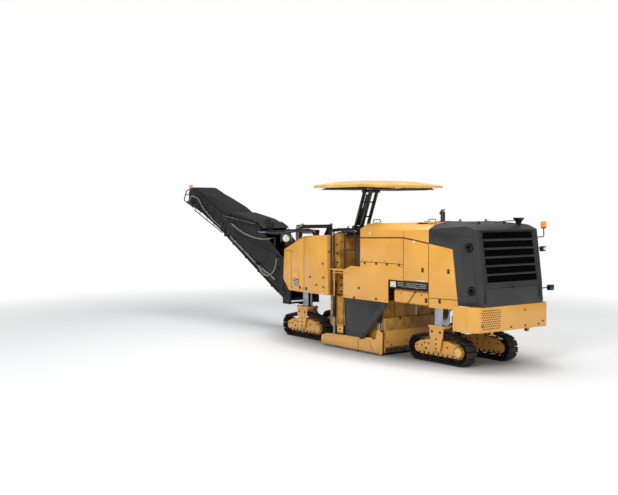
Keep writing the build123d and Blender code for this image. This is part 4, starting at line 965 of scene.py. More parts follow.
class PLANER_OT_engine_hood(bpy.types.Operator):
    """Hood with its seams, louvres and handles, and the exhaust pipe with its flap"""
    bl_idname = "planer.engine_hood"
    bl_label = "Engine Hood"

    def execute(self, context):
        sizes = context.scene.planer_sizes
        face, gap, across = BODY_HALF, sizes.seam_width, sizes.bolt_across
        work = Piece("engine_hood_panels", "hood", "yellow_paint", "yellow_powder_coat", "gap_shade",
            "black_gloss_enamel", "forged_steel", "lamp_glass", "black_conveyor_coat")
        work.cad("engine_hood")
        # Dark strips along the hood's seams and its crease: painted shade of the gaps and the fold.
        work.strip([(x, z + 0.009) for x, z in HOOD_SEAM], face, 0.0015, gap, 1)
        work.strip([(x, z + 0.009) for x, z in MID_SEAM], face, 0.0015, gap, 1, MID_LEAN)
        work.strip(from_rear((0.68, 2.86), (0.68, 3.0)), face, 0.0012, 0.006, 1)
        # Hinge covers at the front edge and the gas-spring anchor plates.
        for y in (0.75, -0.75):
            work.add(block((REAR + 2.06, y - 0.09, 3.148), (REAR + 2.205, y + 0.09, 3.162), 0.004))
            for shift in (-0.06, 0.06):
                work.add(bolt((REAR + 2.13, y + shift, 3.162), UP, across * 0.6), 3)
        # Grab handle at the front of the roof, as a bent tube.
        work.pair(pipe([(REAR + 2.10, 0.93, 3.165), (REAR + 2.10, 0.93, 3.235), (REAR + 1.84, 0.93, 3.245),
            (REAR + 1.84, 0.93, 3.175)], 0.011, 0.03), 2)
        # Raised air intake louvres along the roof.
        for number in range(7):
            x = REAR + 0.42 + number * 0.075
            work.add(block((x, -0.36, 3.196), (x + 0.045, 0.36, 3.21), 0.004, 1), 5)
        # Dark slot and its pale cover beside the exhaust; the slot is a dark plate, painted shade of the
        # opening.
        work.add(block((REAR + 0.20, 0.86, 3.176), (REAR + 0.55, 0.985, 3.186), 0.003), 5)
        work.add(block((REAR - 0.04, 0.80, 3.17), (REAR + 0.17, 0.98, 3.215), 0.012))
        work.add(block((REAR - 0.02, 0.83, 3.212), (REAR + 0.15, 0.96, 3.222), 0.006), 4)
        work.add(turned([(0.056, 0.0), (0.10, 0.0), (0.10, 0.008), (0.066, 0.014), (0.056, 0.02)],
            EXHAUST + Vector((0, 0, 3.207)), UP, 30), 3)
        work.bolt_circle((REAR + 0.07, 0.6, 3.216), 0.084, 6, UP, 0.014, 3)
        work.done("engine_hood")

        pipe_work = Piece("exhaust_pipe", "hood", "engine_iron", "cast_iron", "forged_steel")
        pipe_work.add(turned([(0.047, 3.21), (0.052, 3.21), (0.052, 3.27), (0.056, 3.275), (0.056, 3.29),
            (0.052, 3.295), (0.052, 3.43), (0.055, 3.437), (0.052, 3.444), (0.047, 3.44), (0.047, 3.21)],
            EXHAUST, UP, 32))
        flap = pitched((REAR + 0.13, 0.6, 3.44), radians(24))
        pipe_work.add(turned([(0, 0.0), (0.058, 0.0), (0.058, 0.005), (0, 0.009)], (-0.062, 0, 0.0), UP, 24),
            0, place=flap)
        pipe_work.add(block((-0.02, -0.012, -0.03), (0.03, 0.012, 0.004), 0.003, 1), 1, place=flap)
        pipe_work.add(block((0.0, -0.02, -0.06), (0.05, 0.02, -0.01), 0.006, 1), 1, place=flap)
        pipe_work.done("exhaust_stack")
        return {"FINISHED"}


# ---- Rear of the machine ----------------------------------------------------------
GRILLE_LOW = Vector((REAR - 1.50, 0, 1.87))
GRILLE_UP = Vector((0.19, 0, 1.18)).normalized()
GRILLE_OUT = Vector((-GRILLE_UP.z, 0, GRILLE_UP.x))
GRILLE = Matrix.Translation(GRILLE_LOW) @ Matrix((GRILLE_OUT, (0, -1, 0), GRILLE_UP)).transposed().to_4x4()


class PLANER_OT_rear_shroud(bpy.types.Operator):
    """Dark rear hood with round service points, corner seams, roof lamp, beacon and lamps on arms"""
    bl_idname = "planer.rear_shroud"
    bl_label = "Rear Hood"

    def execute(self, context):
        sizes = context.scene.planer_sizes
        face, gap, across = BODY_HALF, sizes.seam_width, sizes.bolt_across
        work = Piece("rear_hood_panels", "chassis", "black_paint", "black_powder_coat", "gap_shade",
            "black_gloss_enamel", "forged_steel", "lamp_glass", "screen_and_void_shade")
        work.cad("rear_shroud")
        # Proud side skin with its upper seam and the pressed upright behind the round recesses.
        side = from_rear((-0.90, 1.42), (-1.37, 1.42), (-1.17, 2.87), (-0.115, 2.985), (-0.095, 2.76),
            (-0.735, 2.645))
        work.pair(plate(side, "Y", face - 0.002, face + 0.005, 0.003), 0, TAIL_LEAN)
        work.pair(plate(from_rear((-1.06, 1.46), (-1.33, 1.46), (-1.15, 2.78), (-0.93, 2.76)), "Y",
            face + 0.003, face + 0.009, 0.003), 0, TAIL_LEAN)
        # The upper seam is a dark strip: painted shade of the gap.
        work.pair(ribbon(from_rear((-0.10, 3.0), (-1.16, 2.885), (-1.39, 1.42)), "Y", face - 0.002,
            face + 0.0015, gap), 1, TAIL_LEAN)
        for x, z in ((-1.14, 2.66), (-1.22, 1.73)):
            at = (REAR + x, face + 0.009, z)
            work.pair(turned([(0.052, 0.0), (0.088, 0.0), (0.085, 0.008), (0.07, 0.012), (0.058, 0.002),
                (0.052, 0.0)], at, ACROSS, 30), 2, TAIL_LEAN)
            work.pair(turned([(0, 0.0), (0.105, 0.0), (0.105, 0.002), (0.098, 0.005), (0, 0.005)], at,
                ACROSS, 30), 5, TAIL_LEAN)
            work.pair(bar((at[0] - 0.02, at[1], z - 0.02), (at[0] - 0.02, at[1] + 0.02, z - 0.02), 0.02,
                0.004, 16), 3, TAIL_LEAN)
            work.pair(latch(at[0] + 0.10, at[1] - 0.005, z - 0.12), 2, TAIL_LEAN)
        work.side_bolts(face + 0.005, across * 0.5, 3, (-0.93, 1.47), (-0.93, 1.62), (-1.02, 2.80),
            (-0.40, 2.90), (-0.2, 2.85), (-1.32, 1.47), lean=TAIL_LEAN)
        # Rear face: panel below the grille with its seam, catch and corner posts.
        # The seam is a dark strip: painted shade of the gap.
        work.add(ribbon([(-0.88, -0.075), (0.88, -0.075)], "X", 0.0, 0.004, 0.012), 1, place=GRILLE)
        work.add(block((-0.004, -0.05, -0.10), (0.022, 0.05, -0.055), 0.005), 2, place=GRILLE)
        for y in (-0.895, 0.895):
            work.add(block((-0.006, y - 0.03, -0.40), (0.006, y + 0.03, 1.19), 0.004, 1), 0, place=GRILLE)
        # Roof: rolled edge, ribs and lifting eyes.
        for y in (0.58, -0.58):
            work.add(bar((REAR - 0.12, y, 3.218), (REAR - 0.98, y, 3.17), 0.012, 0.003, 10))
        for x, z in ((-0.30, 3.226), (-0.86, 3.186)):
            work.pair(collar(0.016, 0.034, -0.008, 0.008, (REAR + x, 0.42, z + 0.01), ACROSS, 20), 3)
        # Roof lamp: a bowl that faces up and back, on a bent stalk.
        work.add(turned([(0.0, 0.0), (0.052, 0.0), (0.058, 0.03), (0.075, 0.08), (0.13, 0.15),
            (0.134, 0.165), (0.126, 0.168), (0.10, 0.145), (0, 0.12)], (REAR - 1.0, -0.74, 3.135), UP, 28),
            2)
        work.add(pipe([(REAR - 1.0, -0.60, 3.235), (REAR - 0.84, -0.48, 3.225), (REAR - 0.62, -0.36, 3.20)],
            0.01, 0.05, 8), 2)
        arms = [
            # route of a bracket tube on the right-hand rear corner
            [(-1.33, -0.94, 2.86), (-1.30, -1.26, 2.87), (-1.28, -1.27, 3.06)],
            [(-1.36, -0.94, 2.62), (-1.33, -1.17, 2.61)],
            [(-1.50, -0.95, 1.72), (-1.50, -1.20, 1.73)],
        ]
        for route in arms:
            work.add(pipe([(REAR + x, y, z) for x, y, z in route], 0.013, 0.04), 2)
        work.add(block((REAR - 1.37, -1.265, 2.535), (REAR - 1.27, -1.135, 2.655), 0.018), 2)
        work.add(turned([(0, 0), (0.036, 0.0), (0.036, 0.008), (0, 0.012)], (REAR - 1.372, -1.20, 2.6),
            (-1, 0, 0), 20), 4)
        work.add(block((REAR - 1.57, -1.32, 1.66), (REAR - 1.45, -1.18, 1.785), 0.02), 2)
        work.add(collar(0.026, 0.044, -0.01, 0.01, (REAR - 1.50, -1.335, 1.735), ALONG, 22), 2)
        work.done("rear_shroud")
        beacon = Piece("rear_beacon", "chassis", "yellow_paint", "amber_lens", "black_gloss_enamel")
        beacon.add(turned([(0, 3.055), (0.056, 3.055), (0.056, 3.075), (0.05, 3.08), (0, 3.08)],
            CORNER_BEACON, UP, 26), 1)
        beacon.add(turned([(0, 3.08), (0.062, 3.08), (0.062, 3.195), (0.056, 3.21), (0.04, 3.218),
            (0, 3.22)], CORNER_BEACON, UP, 26))
        for rib in range(12):
            turn = rib * tau / 12
            beacon.add(bar((REAR - 1.28 + 0.062 * cos(turn), -1.27 + 0.062 * sin(turn), 3.085),
                (REAR - 1.28 + 0.062 * cos(turn), -1.27 + 0.062 * sin(turn), 3.192), 0.004, 0.001, 6))
        beacon.done()
        return {"FINISHED"}


class PLANER_OT_grille(bpy.types.Operator):
    """Radiator door: five grey slats over a dark wire screen on a black sheet of painted shade"""
    bl_idname = "planer.grille"
    bl_label = "Radiator Grille"

    def execute(self, context):
        work = Piece("radiator_door", "grille_door", "black_paint", "screen_and_void_shade", "black_powder_coat",
            "black_gloss_enamel", "forged_steel")
        work.cad("radiator_grille", 0.003, 1)
        # Black sheet behind the slats: painted shade of the space behind the screen.
        work.add(block((-0.022, -0.83, 0.02), (-0.014, 0.83, 1.13), 0.001, 1), 0, place=GRILLE)
        pitch = 1.12 / 6
        for slat in range(1, 6):
            height = 0.03 + slat * pitch
            work.add(plate([(-0.012, height - 0.019), (0.012, height - 0.013), (0.014, height + 0.010),
                (0.004, height + 0.019), (-0.012, height + 0.019)], "Y", -0.80, 0.80, 0.003), 1,
                place=GRILLE)
        for slat in range(6):
            for row in range(1, 7):
                height = 0.03 + (slat + row / 7) * pitch
                work.add(block((-0.014, -0.80, height - 0.0035), (-0.004, 0.80, height + 0.0035), 0.001, 1),
                    0, place=GRILLE)
        for column in range(-3, 4):
            work.add(block((-0.010, column * 0.22 - 0.004, 0.03), (-0.002, column * 0.22 + 0.004, 1.13),
                0.001, 1), 0, place=GRILLE)
        for y in (-0.826, 0.826):
            for height in (0.09, 0.40, 0.72, 1.04):
                work.add(bolt((0.0, y, height), ALONG, 0.018), 3, place=GRILLE)
        work.done("radiator_grille")
        return {"FINISHED"}


class PLANER_OT_bumper(bpy.types.Operator):
    """Rear bumper with its perforated corner, bolts and tow hooks"""
    bl_idname = "planer.bumper"
    bl_label = "Rear Bumper"

    def execute(self, context):
        across = context.scene.planer_sizes.bolt_across
        rear = REAR - 1.53
        work = Piece("rear_bumper_band", "chassis", "yellow_paint", "yellow_powder_coat", "gap_shade",
            "forged_steel", "black_gloss_enamel")
        work.cad("rear_bumper", 0.006)
        # Staggered slots of the perforated corner: rows, how far apart along a row, and row from row.
        rows, step, rise = 9, 0.07, 0.0485
        for row in range(rows):
            for column in range(9 if row % 2 else 8):
                y = 0.455 + column * step + (0 if row % 2 else step / 2)
                z = 0.94 + row * rise
                # Each slot is a dark plate on the face: painted shade of the hole.
                hole = plate([(y - 0.020, z - 0.007), (y - 0.012, z - 0.0135), (y + 0.012, z - 0.0135),
                    (y + 0.020, z - 0.007), (y + 0.020, z + 0.007), (y + 0.012, z + 0.0135),
                    (y - 0.012, z + 0.0135), (y - 0.020, z + 0.007)], "X", rear - 0.0012, rear + 0.002, 0)
                work.add(hole, 1)
        for y, z in ((-0.35, 1.28), (0.10, 0.93), (-0.37, 0.93), (-0.82, 0.93), (-0.97, 0.99), (1.01, 1.01)):
            work.add(bolt((rear, y, z), (-1, 0, 0), across * 0.9), 2)
        work.add(ribbon([(-1.09, 0.872), (1.09, 0.872)], "X", rear - 0.004, rear + 0.002, 0.012))
        # Shackle pins through the lower tow eyes.
        for y in (0.6, -0.6):
            work.add(bar((REAR - 1.38, y - 0.05, 0.81), (REAR - 1.38, y + 0.05, 0.81), 0.028, 0.004, 18), 2)
        work.done("rear_bumper")
        return {"FINISHED"}


# ---- Front body -------------------------------------------------------------------
class PLANER_OT_front_body(bpy.types.Operator):
    """Front covers with seams, latches, the service box, hand hole and round lamps"""
    bl_idname = "planer.front_body"
    bl_label = "Front Body"

    def execute(self, context):
        sizes = context.scene.planer_sizes
        face, lift, gap, across = BODY_HALF, sizes.panel_lift, sizes.seam_width, sizes.bolt_across
        work = Piece("front_cover_panels", "chassis", "yellow_paint", *PANEL_FINISHES)
        work.cad("front_covers")
        panels = [
            ((3.60, 1.335), (4.50, 1.345), (4.50, 2.74), (3.67, 2.79)),
            ((4.52, 1.345), (5.06, 1.348), (5.09, 2.34), (5.09, 2.43), (4.98, 2.53), (4.52, 2.74)),
            ((5.08, 1.375), (5.19, 1.39), (5.41, 1.65), (5.365, 2.36), (5.11, 2.38)),
        ]
        for outline in panels:
            work.pair(plate(from_rear(*outline), "Y", face - 0.002, face + lift, 0.003))
        # Dark strips along the seams: painted shade of the gaps.
        for line in (((4.51, 1.35), (4.51, 2.76)), ((5.07, 1.35), (5.10, 2.41)),
                ((5.10, 2.385), (5.37, 2.37)), ((5.10, 2.42), (4.53, 2.75), (4.20, 2.79))):
            work.strip(from_rear(*line), face, 0.0015, gap, 1)
        work.side_latches(face + lift, 2, (4.24, 1.73), (3.67, 1.75), (3.97, 1.54), (3.67, 1.50),
            (3.70, 2.10))
        for x, z in ((4.41, 1.41), (4.69, 1.42)):
            work.pair(turned([(0, 0), (0.042, 0.0), (0.042, 0.006), (0.03, 0.01), (0, 0.01)],
                (REAR + x, face + lift, z), ACROSS, 22), 2)
        work.side_bolts(face + lift, across * 0.5, 4, (3.66, 1.38), (4.44, 1.39), (3.72, 2.74), (4.44, 2.70),
            (5.02, 1.40), (5.02, 2.36), (4.58, 1.40), (4.58, 2.65), (5.15, 2.33), (5.32, 2.31), (5.36, 1.70),
            (5.16, 1.43))
        # Service box: yellow lid above a dark louvred opening, whose dark plate is painted shade inside it.
        work.pair(block((REAR + 4.72, face, 1.66), (REAR + 5.02, face + 0.03, 1.86), 0.008))
        work.pair(block((REAR + 4.74, face, 1.46), (REAR + 5.00, face + 0.012, 1.64), 0.005), 2)
        for z in (1.49, 1.53, 1.57, 1.61):
            work.pair(ribbon([(REAR + 4.755, z), (REAR + 4.985, z)], "Y", face + 0.010, face + 0.018, 0.014),
                3)
        # Hand hole with its folded rim.
        rim = from_rear((5.10, 1.50), (5.10, 1.62), (5.14, 1.645), (5.27, 1.645), (5.31, 1.62), (5.31, 1.50),
            (5.27, 1.475), (5.14, 1.475), (5.10, 1.50))
        work.pair(ribbon(rim, "Y", face - 0.004, face + 0.009, 0.016))
        # Small marker light on the deck edge.
        work.pair(block((REAR + 3.62, face, 1.325), (REAR + 3.74, face + 0.016, 1.355), 0.005), 3)
        work.done("front_covers")

        hood = Piece("front_hood_panels", "chassis", "yellow_paint", *PANEL_FINISHES)
        hood.cad("front_hood")
        # The brackets that stand on the hood for the canopy's arms are black.
        for face in hood.mesh.faces:
            if face.calc_center_median().z > 2.85:
                face.material_index = 2
        # Two thin dark strips along the top: painted shade of the gaps there.
        for y in (0.31, -0.31):
            hood.add(ribbon([(REAR + 3.9, y), (REAR + 4.48, y)], "Z", 2.8305, 2.8345, 0.01), 1)
        # Duct hoses over the hood: fat black bends with steel clips.
        for y, start, end in ((0.86, 4.55, 5.95), (0.70, 4.75, 5.95)):
            route = [(REAR + start, y, 2.80), (REAR + start + 0.06, y, 2.905),
                (REAR + start + 0.42, y, 2.925), (REAR + end - 0.30, y, 2.90), (REAR + end, y - 0.02, 2.87)]
            hood.pair(pipe(route, 0.045, 0.09, 14), 2)
            for x in (start + 0.30, start + 0.72):
                hood.pair(collar(0.047, 0.05, -0.012, 0.012, (REAR + x, y, 2.923), ALONG, 20), 4)
        x = 5.56
        at, look = (REAR + x, 1.08, 2.70), Vector((-0.75, 0.66, -0.05))
        hood.pair(lamp_housing(at, look, 0.112), 2)
        hood.pair(lamp_lens(at, look, 0.112), 3)
        hood.pair(bar((REAR + x + 0.02, 1.07, 2.53), (REAR + x + 0.02, 1.07, 2.62), 0.016, 0.003, 12), 2)
        hood.pair(pipe([(REAR + 5.20, 1.13, 2.62), (REAR + 5.26, 1.13, 2.80), (REAR + 5.52, 1.12, 2.84),
            (REAR + 5.74, 1.10, 2.78), (REAR + 5.78, 1.08, 2.60)], 0.026, 0.09, 12), 2)
        hood.done("front_hood")
        return {"FINISHED"}


# ---- Operator's place -------------------------------------------------------------
def rail_hoop(work, rear, front, y, foot, top, radius=0.019):
    """Hoop of tube with a middle rail, standing on flanges."""
    work.add(pipe([(rear, y, foot), (rear, y, top), (front, y, top), (front, y, foot)], radius, 0.07, 12))
    for x in (rear, front):
        work.add(bar((x, y, foot), (x, y, foot + 0.008), 0.045, 0.002, 18))
        for shift in (-0.03, 0.03):
            work.add(bolt((x + shift, y, foot + 0.008), UP, 0.014), 1)


class PLANER_OT_operator_place(bpy.types.Operator):
    """Deck with treads, step rungs, handrails, consoles with switches and padded seats"""
    bl_idname = "planer.operator_place"
    bl_label = "Operator Place"

    def execute(self, context):
        deck = Piece("deck_and_steps", "chassis", "yellow_paint", "yellow_powder_coat", "tread_plate",
            "black_gloss_enamel", "forged_steel", "yellow_coat_shade_and_dust")
        deck.cad("operator_deck")
        rear, front = REAR + 2.225, REAR + 3.475
        deck.add(block((rear, -1.225, 2.000), (front, 1.225, DECK), 0.001, 1), 1)
        for x in (rear + 0.02, (rear + front) / 2, front - 0.02):
            deck.add(ribbon([(x, -1.22), (x, 1.22)], "Z", 2.003, 2.008, 0.03))
        # Folding upper steps at the deck's edge and the rungs under them.
        for z in (1.968, 1.905):
            deck.pair(block((REAR + 2.90, 1.06, z - 0.012), (REAR + 3.32, 1.236, z + 0.006), 0.004))
            deck.pair(block((REAR + 2.915, 1.075, z + 0.006), (REAR + 3.305, 1.225, z + 0.010), 0.001, 1), 1)
        for z in (1.42, 1.59, 1.76):
            deck.pair(pipe([(REAR + 2.90, 1.215, z), (REAR + 2.90, 1.075, z), (REAR + 3.27, 1.075, z),
                (REAR + 3.27, 1.215, z)], 0.017, 0.05, 12), 2)
        # Inner wall panels of the stair well, dull yellow in the shade.
        deck.pair(block((REAR + 2.30, 0.98, 1.33), (REAR + 3.45, 0.99, 1.96), 0.002, 1), 4)
        deck.done("operator_deck")

        rails = Piece("guard_rails", "chassis", "black_paint", "black_gloss_enamel", "forged_steel",
            "seat_vinyl")
        side = BODY_HALF - 0.04
        for y in (side, -side):
            rail_hoop(rails, REAR + 2.45, REAR + 2.86, y, DECK, RAIL_TOP)
            rail_hoop(rails, REAR + 3.30, REAR + 3.41, y, DECK, RAIL_TOP)
            rails.add(bar((REAR + 3.41, y, 2.42), (REAR + 3.55, y, 2.42), 0.014, 0.003, 12))
            rails.add(bar((REAR + 2.45, y, 2.48), (REAR + 2.86, y, 2.48), 0.014, 0.003, 12))
            rails.add(bar((REAR + 3.31, y, 2.48), (REAR + 3.40, y, 2.48), 0.012, 0.003, 12))
            # Ribbed rubber grips at hand height.
            for x in (REAR + 2.86, REAR + 3.41):
                for ring in range(9):
                    rails.add(turned([(0.019, -0.011), (0.024, -0.009), (0.024, 0.009), (0.019, 0.011)],
                        (x, y, 2.56 + ring * 0.024), UP, 14), 2)
            # Long post that carries the mirror and the work lamp down to the step.
            rails.add(bar((REAR + 3.41, y, 1.32), (REAR + 3.41, y, DECK), 0.019, 0.003, 14))
        for y in (0.30, -0.30):
            rails.add(pipe([(REAR + 3.42, y, DECK), (REAR + 3.42, y, 2.90), (REAR + 3.42, y * 3.4, 2.90),
                (REAR + 3.42, y * 3.4, DECK)], 0.017, 0.07, 12))
        rails.done("handrails")

        station = Piece("control_stations", "chassis", "black_paint", "black_powder_coat", "black_rubber",
            "forged_steel", "lamp_glass", "amber_lens", "worn_steel", "black_gloss_enamel",
            "yellow_coat_shade_and_dust")
        station.cad("operator_stations", 0.012, 7)
        # The seats' plain blocks give way to the cushions below.
        seat_blocks = [vert for vert in station.mesh.verts if vert.co.x < DRUM.x + 0.4]
        bmesh.ops.delete(station.mesh, geom=seat_blocks, context="VERTS")
        for side in (1, -1):
            middle = side * 0.725
            # Sloping switch panel with its rim, a screen, joystick, dials and rows of switches.
            slope = pitched((REAR + 3.10, middle, 2.893), radians(-29.7))
            station.add(block((-0.12, -0.35, 0.0), (0.10, 0.35, 0.012), 0.004), 6, place=slope)
            station.add(block((-0.02, -0.12, 0.012), (0.09, 0.12, 0.03), 0.006), 1, place=slope)
            station.add(block((-0.005, -0.10, 0.03), (0.08, 0.10, 0.032), 0.001, 1), 3, place=slope)
            for row in range(2):
                for column in range(6):
                    y = -0.32 + column * 0.032
                    station.add(block((-0.08 + row * 0.05, y, 0.012), (-0.055 + row * 0.05, y + 0.02, 0.020),
                        0.002, 1), 1, place=slope)
            for column in range(4):
                spot = (-0.07, 0.15 + column * 0.05, 0.012)
                station.add(bar(spot, (spot[0], spot[1], 0.03), 0.014, 0.003, 16), 4 if column == 3 else 1,
                    place=slope)
            station.add(turned([(0, 0), (0.035, 0.0), (0.03, 0.02), (0.014, 0.035), (0.011, 0.10),
                (0.02, 0.12), (0.022, 0.15), (0.014, 0.165), (0, 0.168)], (0.03, 0.22, 0.012), UP, 20), 1,
                place=slope)
            station.add(pipe([(REAR + 3.20, middle - 0.2, 2.86), (REAR + 3.20, middle - 0.2, 2.955),
                (REAR + 3.20, middle + 0.2, 2.955), (REAR + 3.20, middle + 0.2, 2.86)], 0.012, 0.04), 6)
            for z in (2.15, 2.38, 2.60):
                station.add(latch(REAR + 3.28, side * 1.10, z, side), 2)
        # Closed cupboard at the hood's front wall, on both sides of the walkway.
        for side in (1, -1):
            near, far = sorted((side * 0.98, side * 1.19))
            station.add(block((REAR + 2.24, near, 2.10), (REAR + 2.40, far, 2.70), 0.012))
            station.add(block((REAR + 2.40, near + 0.02, 2.14), (REAR + 2.408, far - 0.02, 2.66), 0.004))
        station.done("operator_stations")

        for side, name in ((1, "left"), (-1, "right")):
            y = side * 0.75
            x = DRUM.x + 0.03 - 0.14
            cushion = Piece(f"seat_{name}", "chassis", "black_paint", "seat_vinyl", "black_gloss_enamel",
                "forged_steel")
            base = cushion_form((x - 0.02, y - 0.21, 2.335), (x + 0.25, y + 0.21, 2.44), 0.035)
            cushion.add(base)
            lean = pitched((x - 0.075, y, 2.42), radians(-14))
            cushion.add(cushion_form((-0.045, -0.20, -0.01), (0.045, 0.20, 0.285), 0.035), 0, place=lean)
            for across_y in (-0.105, 0.105):
                cushion.add(bar((x + 0.02, y + across_y, 2.443), (x + 0.23, y + across_y, 2.443), 0.004,
                    0.001, 8), 1)
            cushion.done()
            post = Piece(f"seat_post_{name}", "chassis", "black_paint", "black_gloss_enamel", "black_rubber",
                "forged_steel")
            post.add(turned([(0, DECK), (0.10, DECK), (0.10, 2.014), (0.045, 2.02), (0.04, 2.10),
                (0.04, 2.28), (0.09, 2.32), (0, 2.335)], (x + 0.10, y, 0), UP, 26))
            for ring in range(6):
                post.add(turned([(0.04, -0.012), (0.066, 0), (0.04, 0.012)],
                    (x + 0.10, y, 2.12 + ring * 0.024), UP, 20), 1)
            post.done()
        return {"FINISHED"}


def cushion_form(low, high, soft):
    """Soft upholstered block: full in the middle, its edges rolled over."""
    low, high = Vector(low), Vector(high)
    part = bmesh.new()
    size = high - low
    middle = (low + high) / 2
    bmesh.ops.create_cube(part, size=1.0, matrix=Matrix.Translation(middle) @ Matrix.Diagonal((*size, 1.0)))
    bmesh.ops.subdivide_edges(part, edges=part.edges, cuts=7, use_grid_fill=True)
    for vert in part.verts:
        share = [abs(vert.co[a] - middle[a]) / (size[a] / 2) for a in range(3)]
        for a in range(3):
            b, c = (a + 1) % 3, (a + 2) % 3
            roll = soft * max(0.0, max(share[b], share[c]) ** 6)
            vert.co[a] += -roll * share[a] * (1 if vert.co[a] > middle[a] else -1) * (size[a] / max(size))
    bmesh.ops.smooth_vert(part, verts=part.verts, factor=0.5, use_axis_x=True, use_axis_y=True,
        use_axis_z=True)
    return part


# ---- Milling gear -----------------------------------------------------------------
PLATE_Y = BODY_HALF - 0.185 + 0.098


class PLANER_OT_milling_drum(bpy.types.Operator):
    """Cutting drum with tool holders and carbide picks in two spirals"""
    bl_idname = "planer.milling_drum"
    bl_label = "Milling Drum"

    def execute(self, context):
        # Half the drum's width, rows of picks on each half, and the turn from one row to the next.
        half, rows, advance = 1.005, 44, 32
        work = Piece("cutting_drum", "drum", "bare_steel", "worn_steel", "forged_steel",
            "yellow_powder_coat")
        work.add(turned([(0, -half), (0.40, -half), (0.425, -half + 0.02), (0.425, half - 0.02),
            (0.40, half), (0, half)], DRUM, ACROSS, 64))
        for side in (1, -1):
            work.add(turned([(0, 0), (0.118, 0), (0.118, 0.028), (0.10, 0.0345), (0, 0.0345)],
                DRUM + Vector((0, side * half, 0)), (0, side, 0), 32), 1)
            for row in range(rows):
                y = side * (0.022 + row * (half - 0.06) / (rows - 1))
                turn = pitched(DRUM + Vector((0, y, 0)), radians(row * advance + 8))
                work.add(plate([(-0.055, 0.415), (0.06, 0.415), (0.052, 0.455), (0.02, 0.468),
                    (-0.03, 0.452)], "Y", -0.018, 0.018, 0.005, 1), 1, place=turn)
                work.add(bar((-0.012, 0, 0.448), (0.018, 0, 0.484), 0.015, 0.003, 12), 1, place=turn)
                work.add(bar((0.018, 0, 0.484), (0.030, 0, 0.501), 0.010, 0.001, 12, 0.003), 0, place=turn)
        work.done("milling_drum")
        return {"FINISHED"}


class PLANER_OT_milling_housing(bpy.types.Operator):
    """Drum housing with ribs, bolted frame and guide cylinders, and the dark side covers"""
    bl_idname = "planer.milling_housing"
    bl_label = "Milling Housing"

    def execute(self, context):
        across = context.scene.planer_sizes.bolt_across
        work = Piece("drum_housing_box", "chassis", "yellow_paint", "yellow_coat_shade_and_dust",
            "yellow_powder_coat", "black_gloss_enamel", "forged_steel", "hard_chrome")
        # The housing's own form takes the darker coat: painted shade, with stone dust.
        work.cad("drum_housing")
        wall = BODY_HALF - 0.185
        for x in (-0.86, -0.52, 0.55, 0.86):
            work.pair(plate([(DRUM.x + x - 0.02, 0.55), (DRUM.x + x + 0.02, 0.55), (DRUM.x + x + 0.02, 1.28),
                (DRUM.x + x - 0.02, 1.28)], "Y", wall - 0.002, wall + 0.022, 0.004))
        for number in range(14):
            turn = radians(200 - number * 220 / 13)
            work.pair(bolt((DRUM.x + 0.46 * cos(turn), wall, DRUM.z + 0.46 * sin(turn)), ACROSS,
                across * 0.8), 3)
        work.pair(turned([(0.20, 0), (0.24, 0), (0.24, 0.012), (0.20, 0.016), (0.20, 0)],
            (DRUM.x, wall, DRUM.z), ACROSS, 36))
        # Wall above the scraper door, with its folded seams, in the darker coat: painted shade, with stone
        # dust.
        work.add(block((DRUM.x - 0.975, -1.045, 0.86), (DRUM.x - 0.981, 1.045, 1.296), 0.002, 1))
        for y in (-0.70, 0.0, 0.70):
            work.add(block((DRUM.x - 0.982, y - 0.012, 0.88), (DRUM.x - 0.9845, y + 0.012, 1.29), 0.001, 1),
                4)
        # Barrels of the side plates' lift cylinders: black, with chrome ends.
        for at in GUIDE_RODS:
            work.pair(turned([(0.0462, 0.765), (0.050, 0.765), (0.050, 0.80), (0.0475, 0.81), (0.0475, 1.66),
                (0.050, 1.67), (0.050, 1.695), (0.0462, 1.695)], at, UP, 26), 2)
            work.pair(collar(0.0262, 0.040, 0.752, 0.766, at, UP, 22), 3)
        work.done("drum_housing")

        cover = Piece("drum_side_shields", "chassis", "black_paint", "black_powder_coat",
            "black_gloss_enamel", "forged_steel")
        cover.cad("drum_side_covers")
        outer = BODY_HALF - 0.025
        edge = [(DRUM.x + 0.30, 1.27), (DRUM.x + 0.235, 0.40), (DRUM.x - 0.435, 0.39), (DRUM.x - 1.22, 1.27),
            (DRUM.x + 0.30, 1.27)]
        cover.strip(edge, outer, 0.006, 0.02, 0)
        brace = [(DRUM.x - 1.20, 1.19), (DRUM.x - 1.13, 1.245), (DRUM.x - 0.285, 0.39),
            (DRUM.x - 0.345, 0.345)]
        cover.pair(plate(brace, "Y", outer + 0.001, outer + 0.014, 0.005), 1)
        cover.side_bolts(outer, across * 0.7, 2, (0.2, 1.2), (0.16, 0.5), (-0.36, 0.48), (-1.05, 1.2),
            (-0.4, 1.2), datum=DRUM.x)
        for share in (0.12, 0.5, 0.88):
            cover.pair(bolt((DRUM.x - 1.165 + share * 0.83, outer + 0.014, 1.21 - share * 0.83), ACROSS,
                across * 0.8), 2)
        # Rubber skirt under the brace.
        cover.pair(plate([(DRUM.x - 1.22, 1.15), (DRUM.x - 1.19, 1.19), (DRUM.x - 0.38, 0.36),
            (DRUM.x - 0.44, 0.34)], "Y", outer - 0.012, outer - 0.004, 0.002), 1)
        cover.done("drum_side_covers")
        return {"FINISHED"}


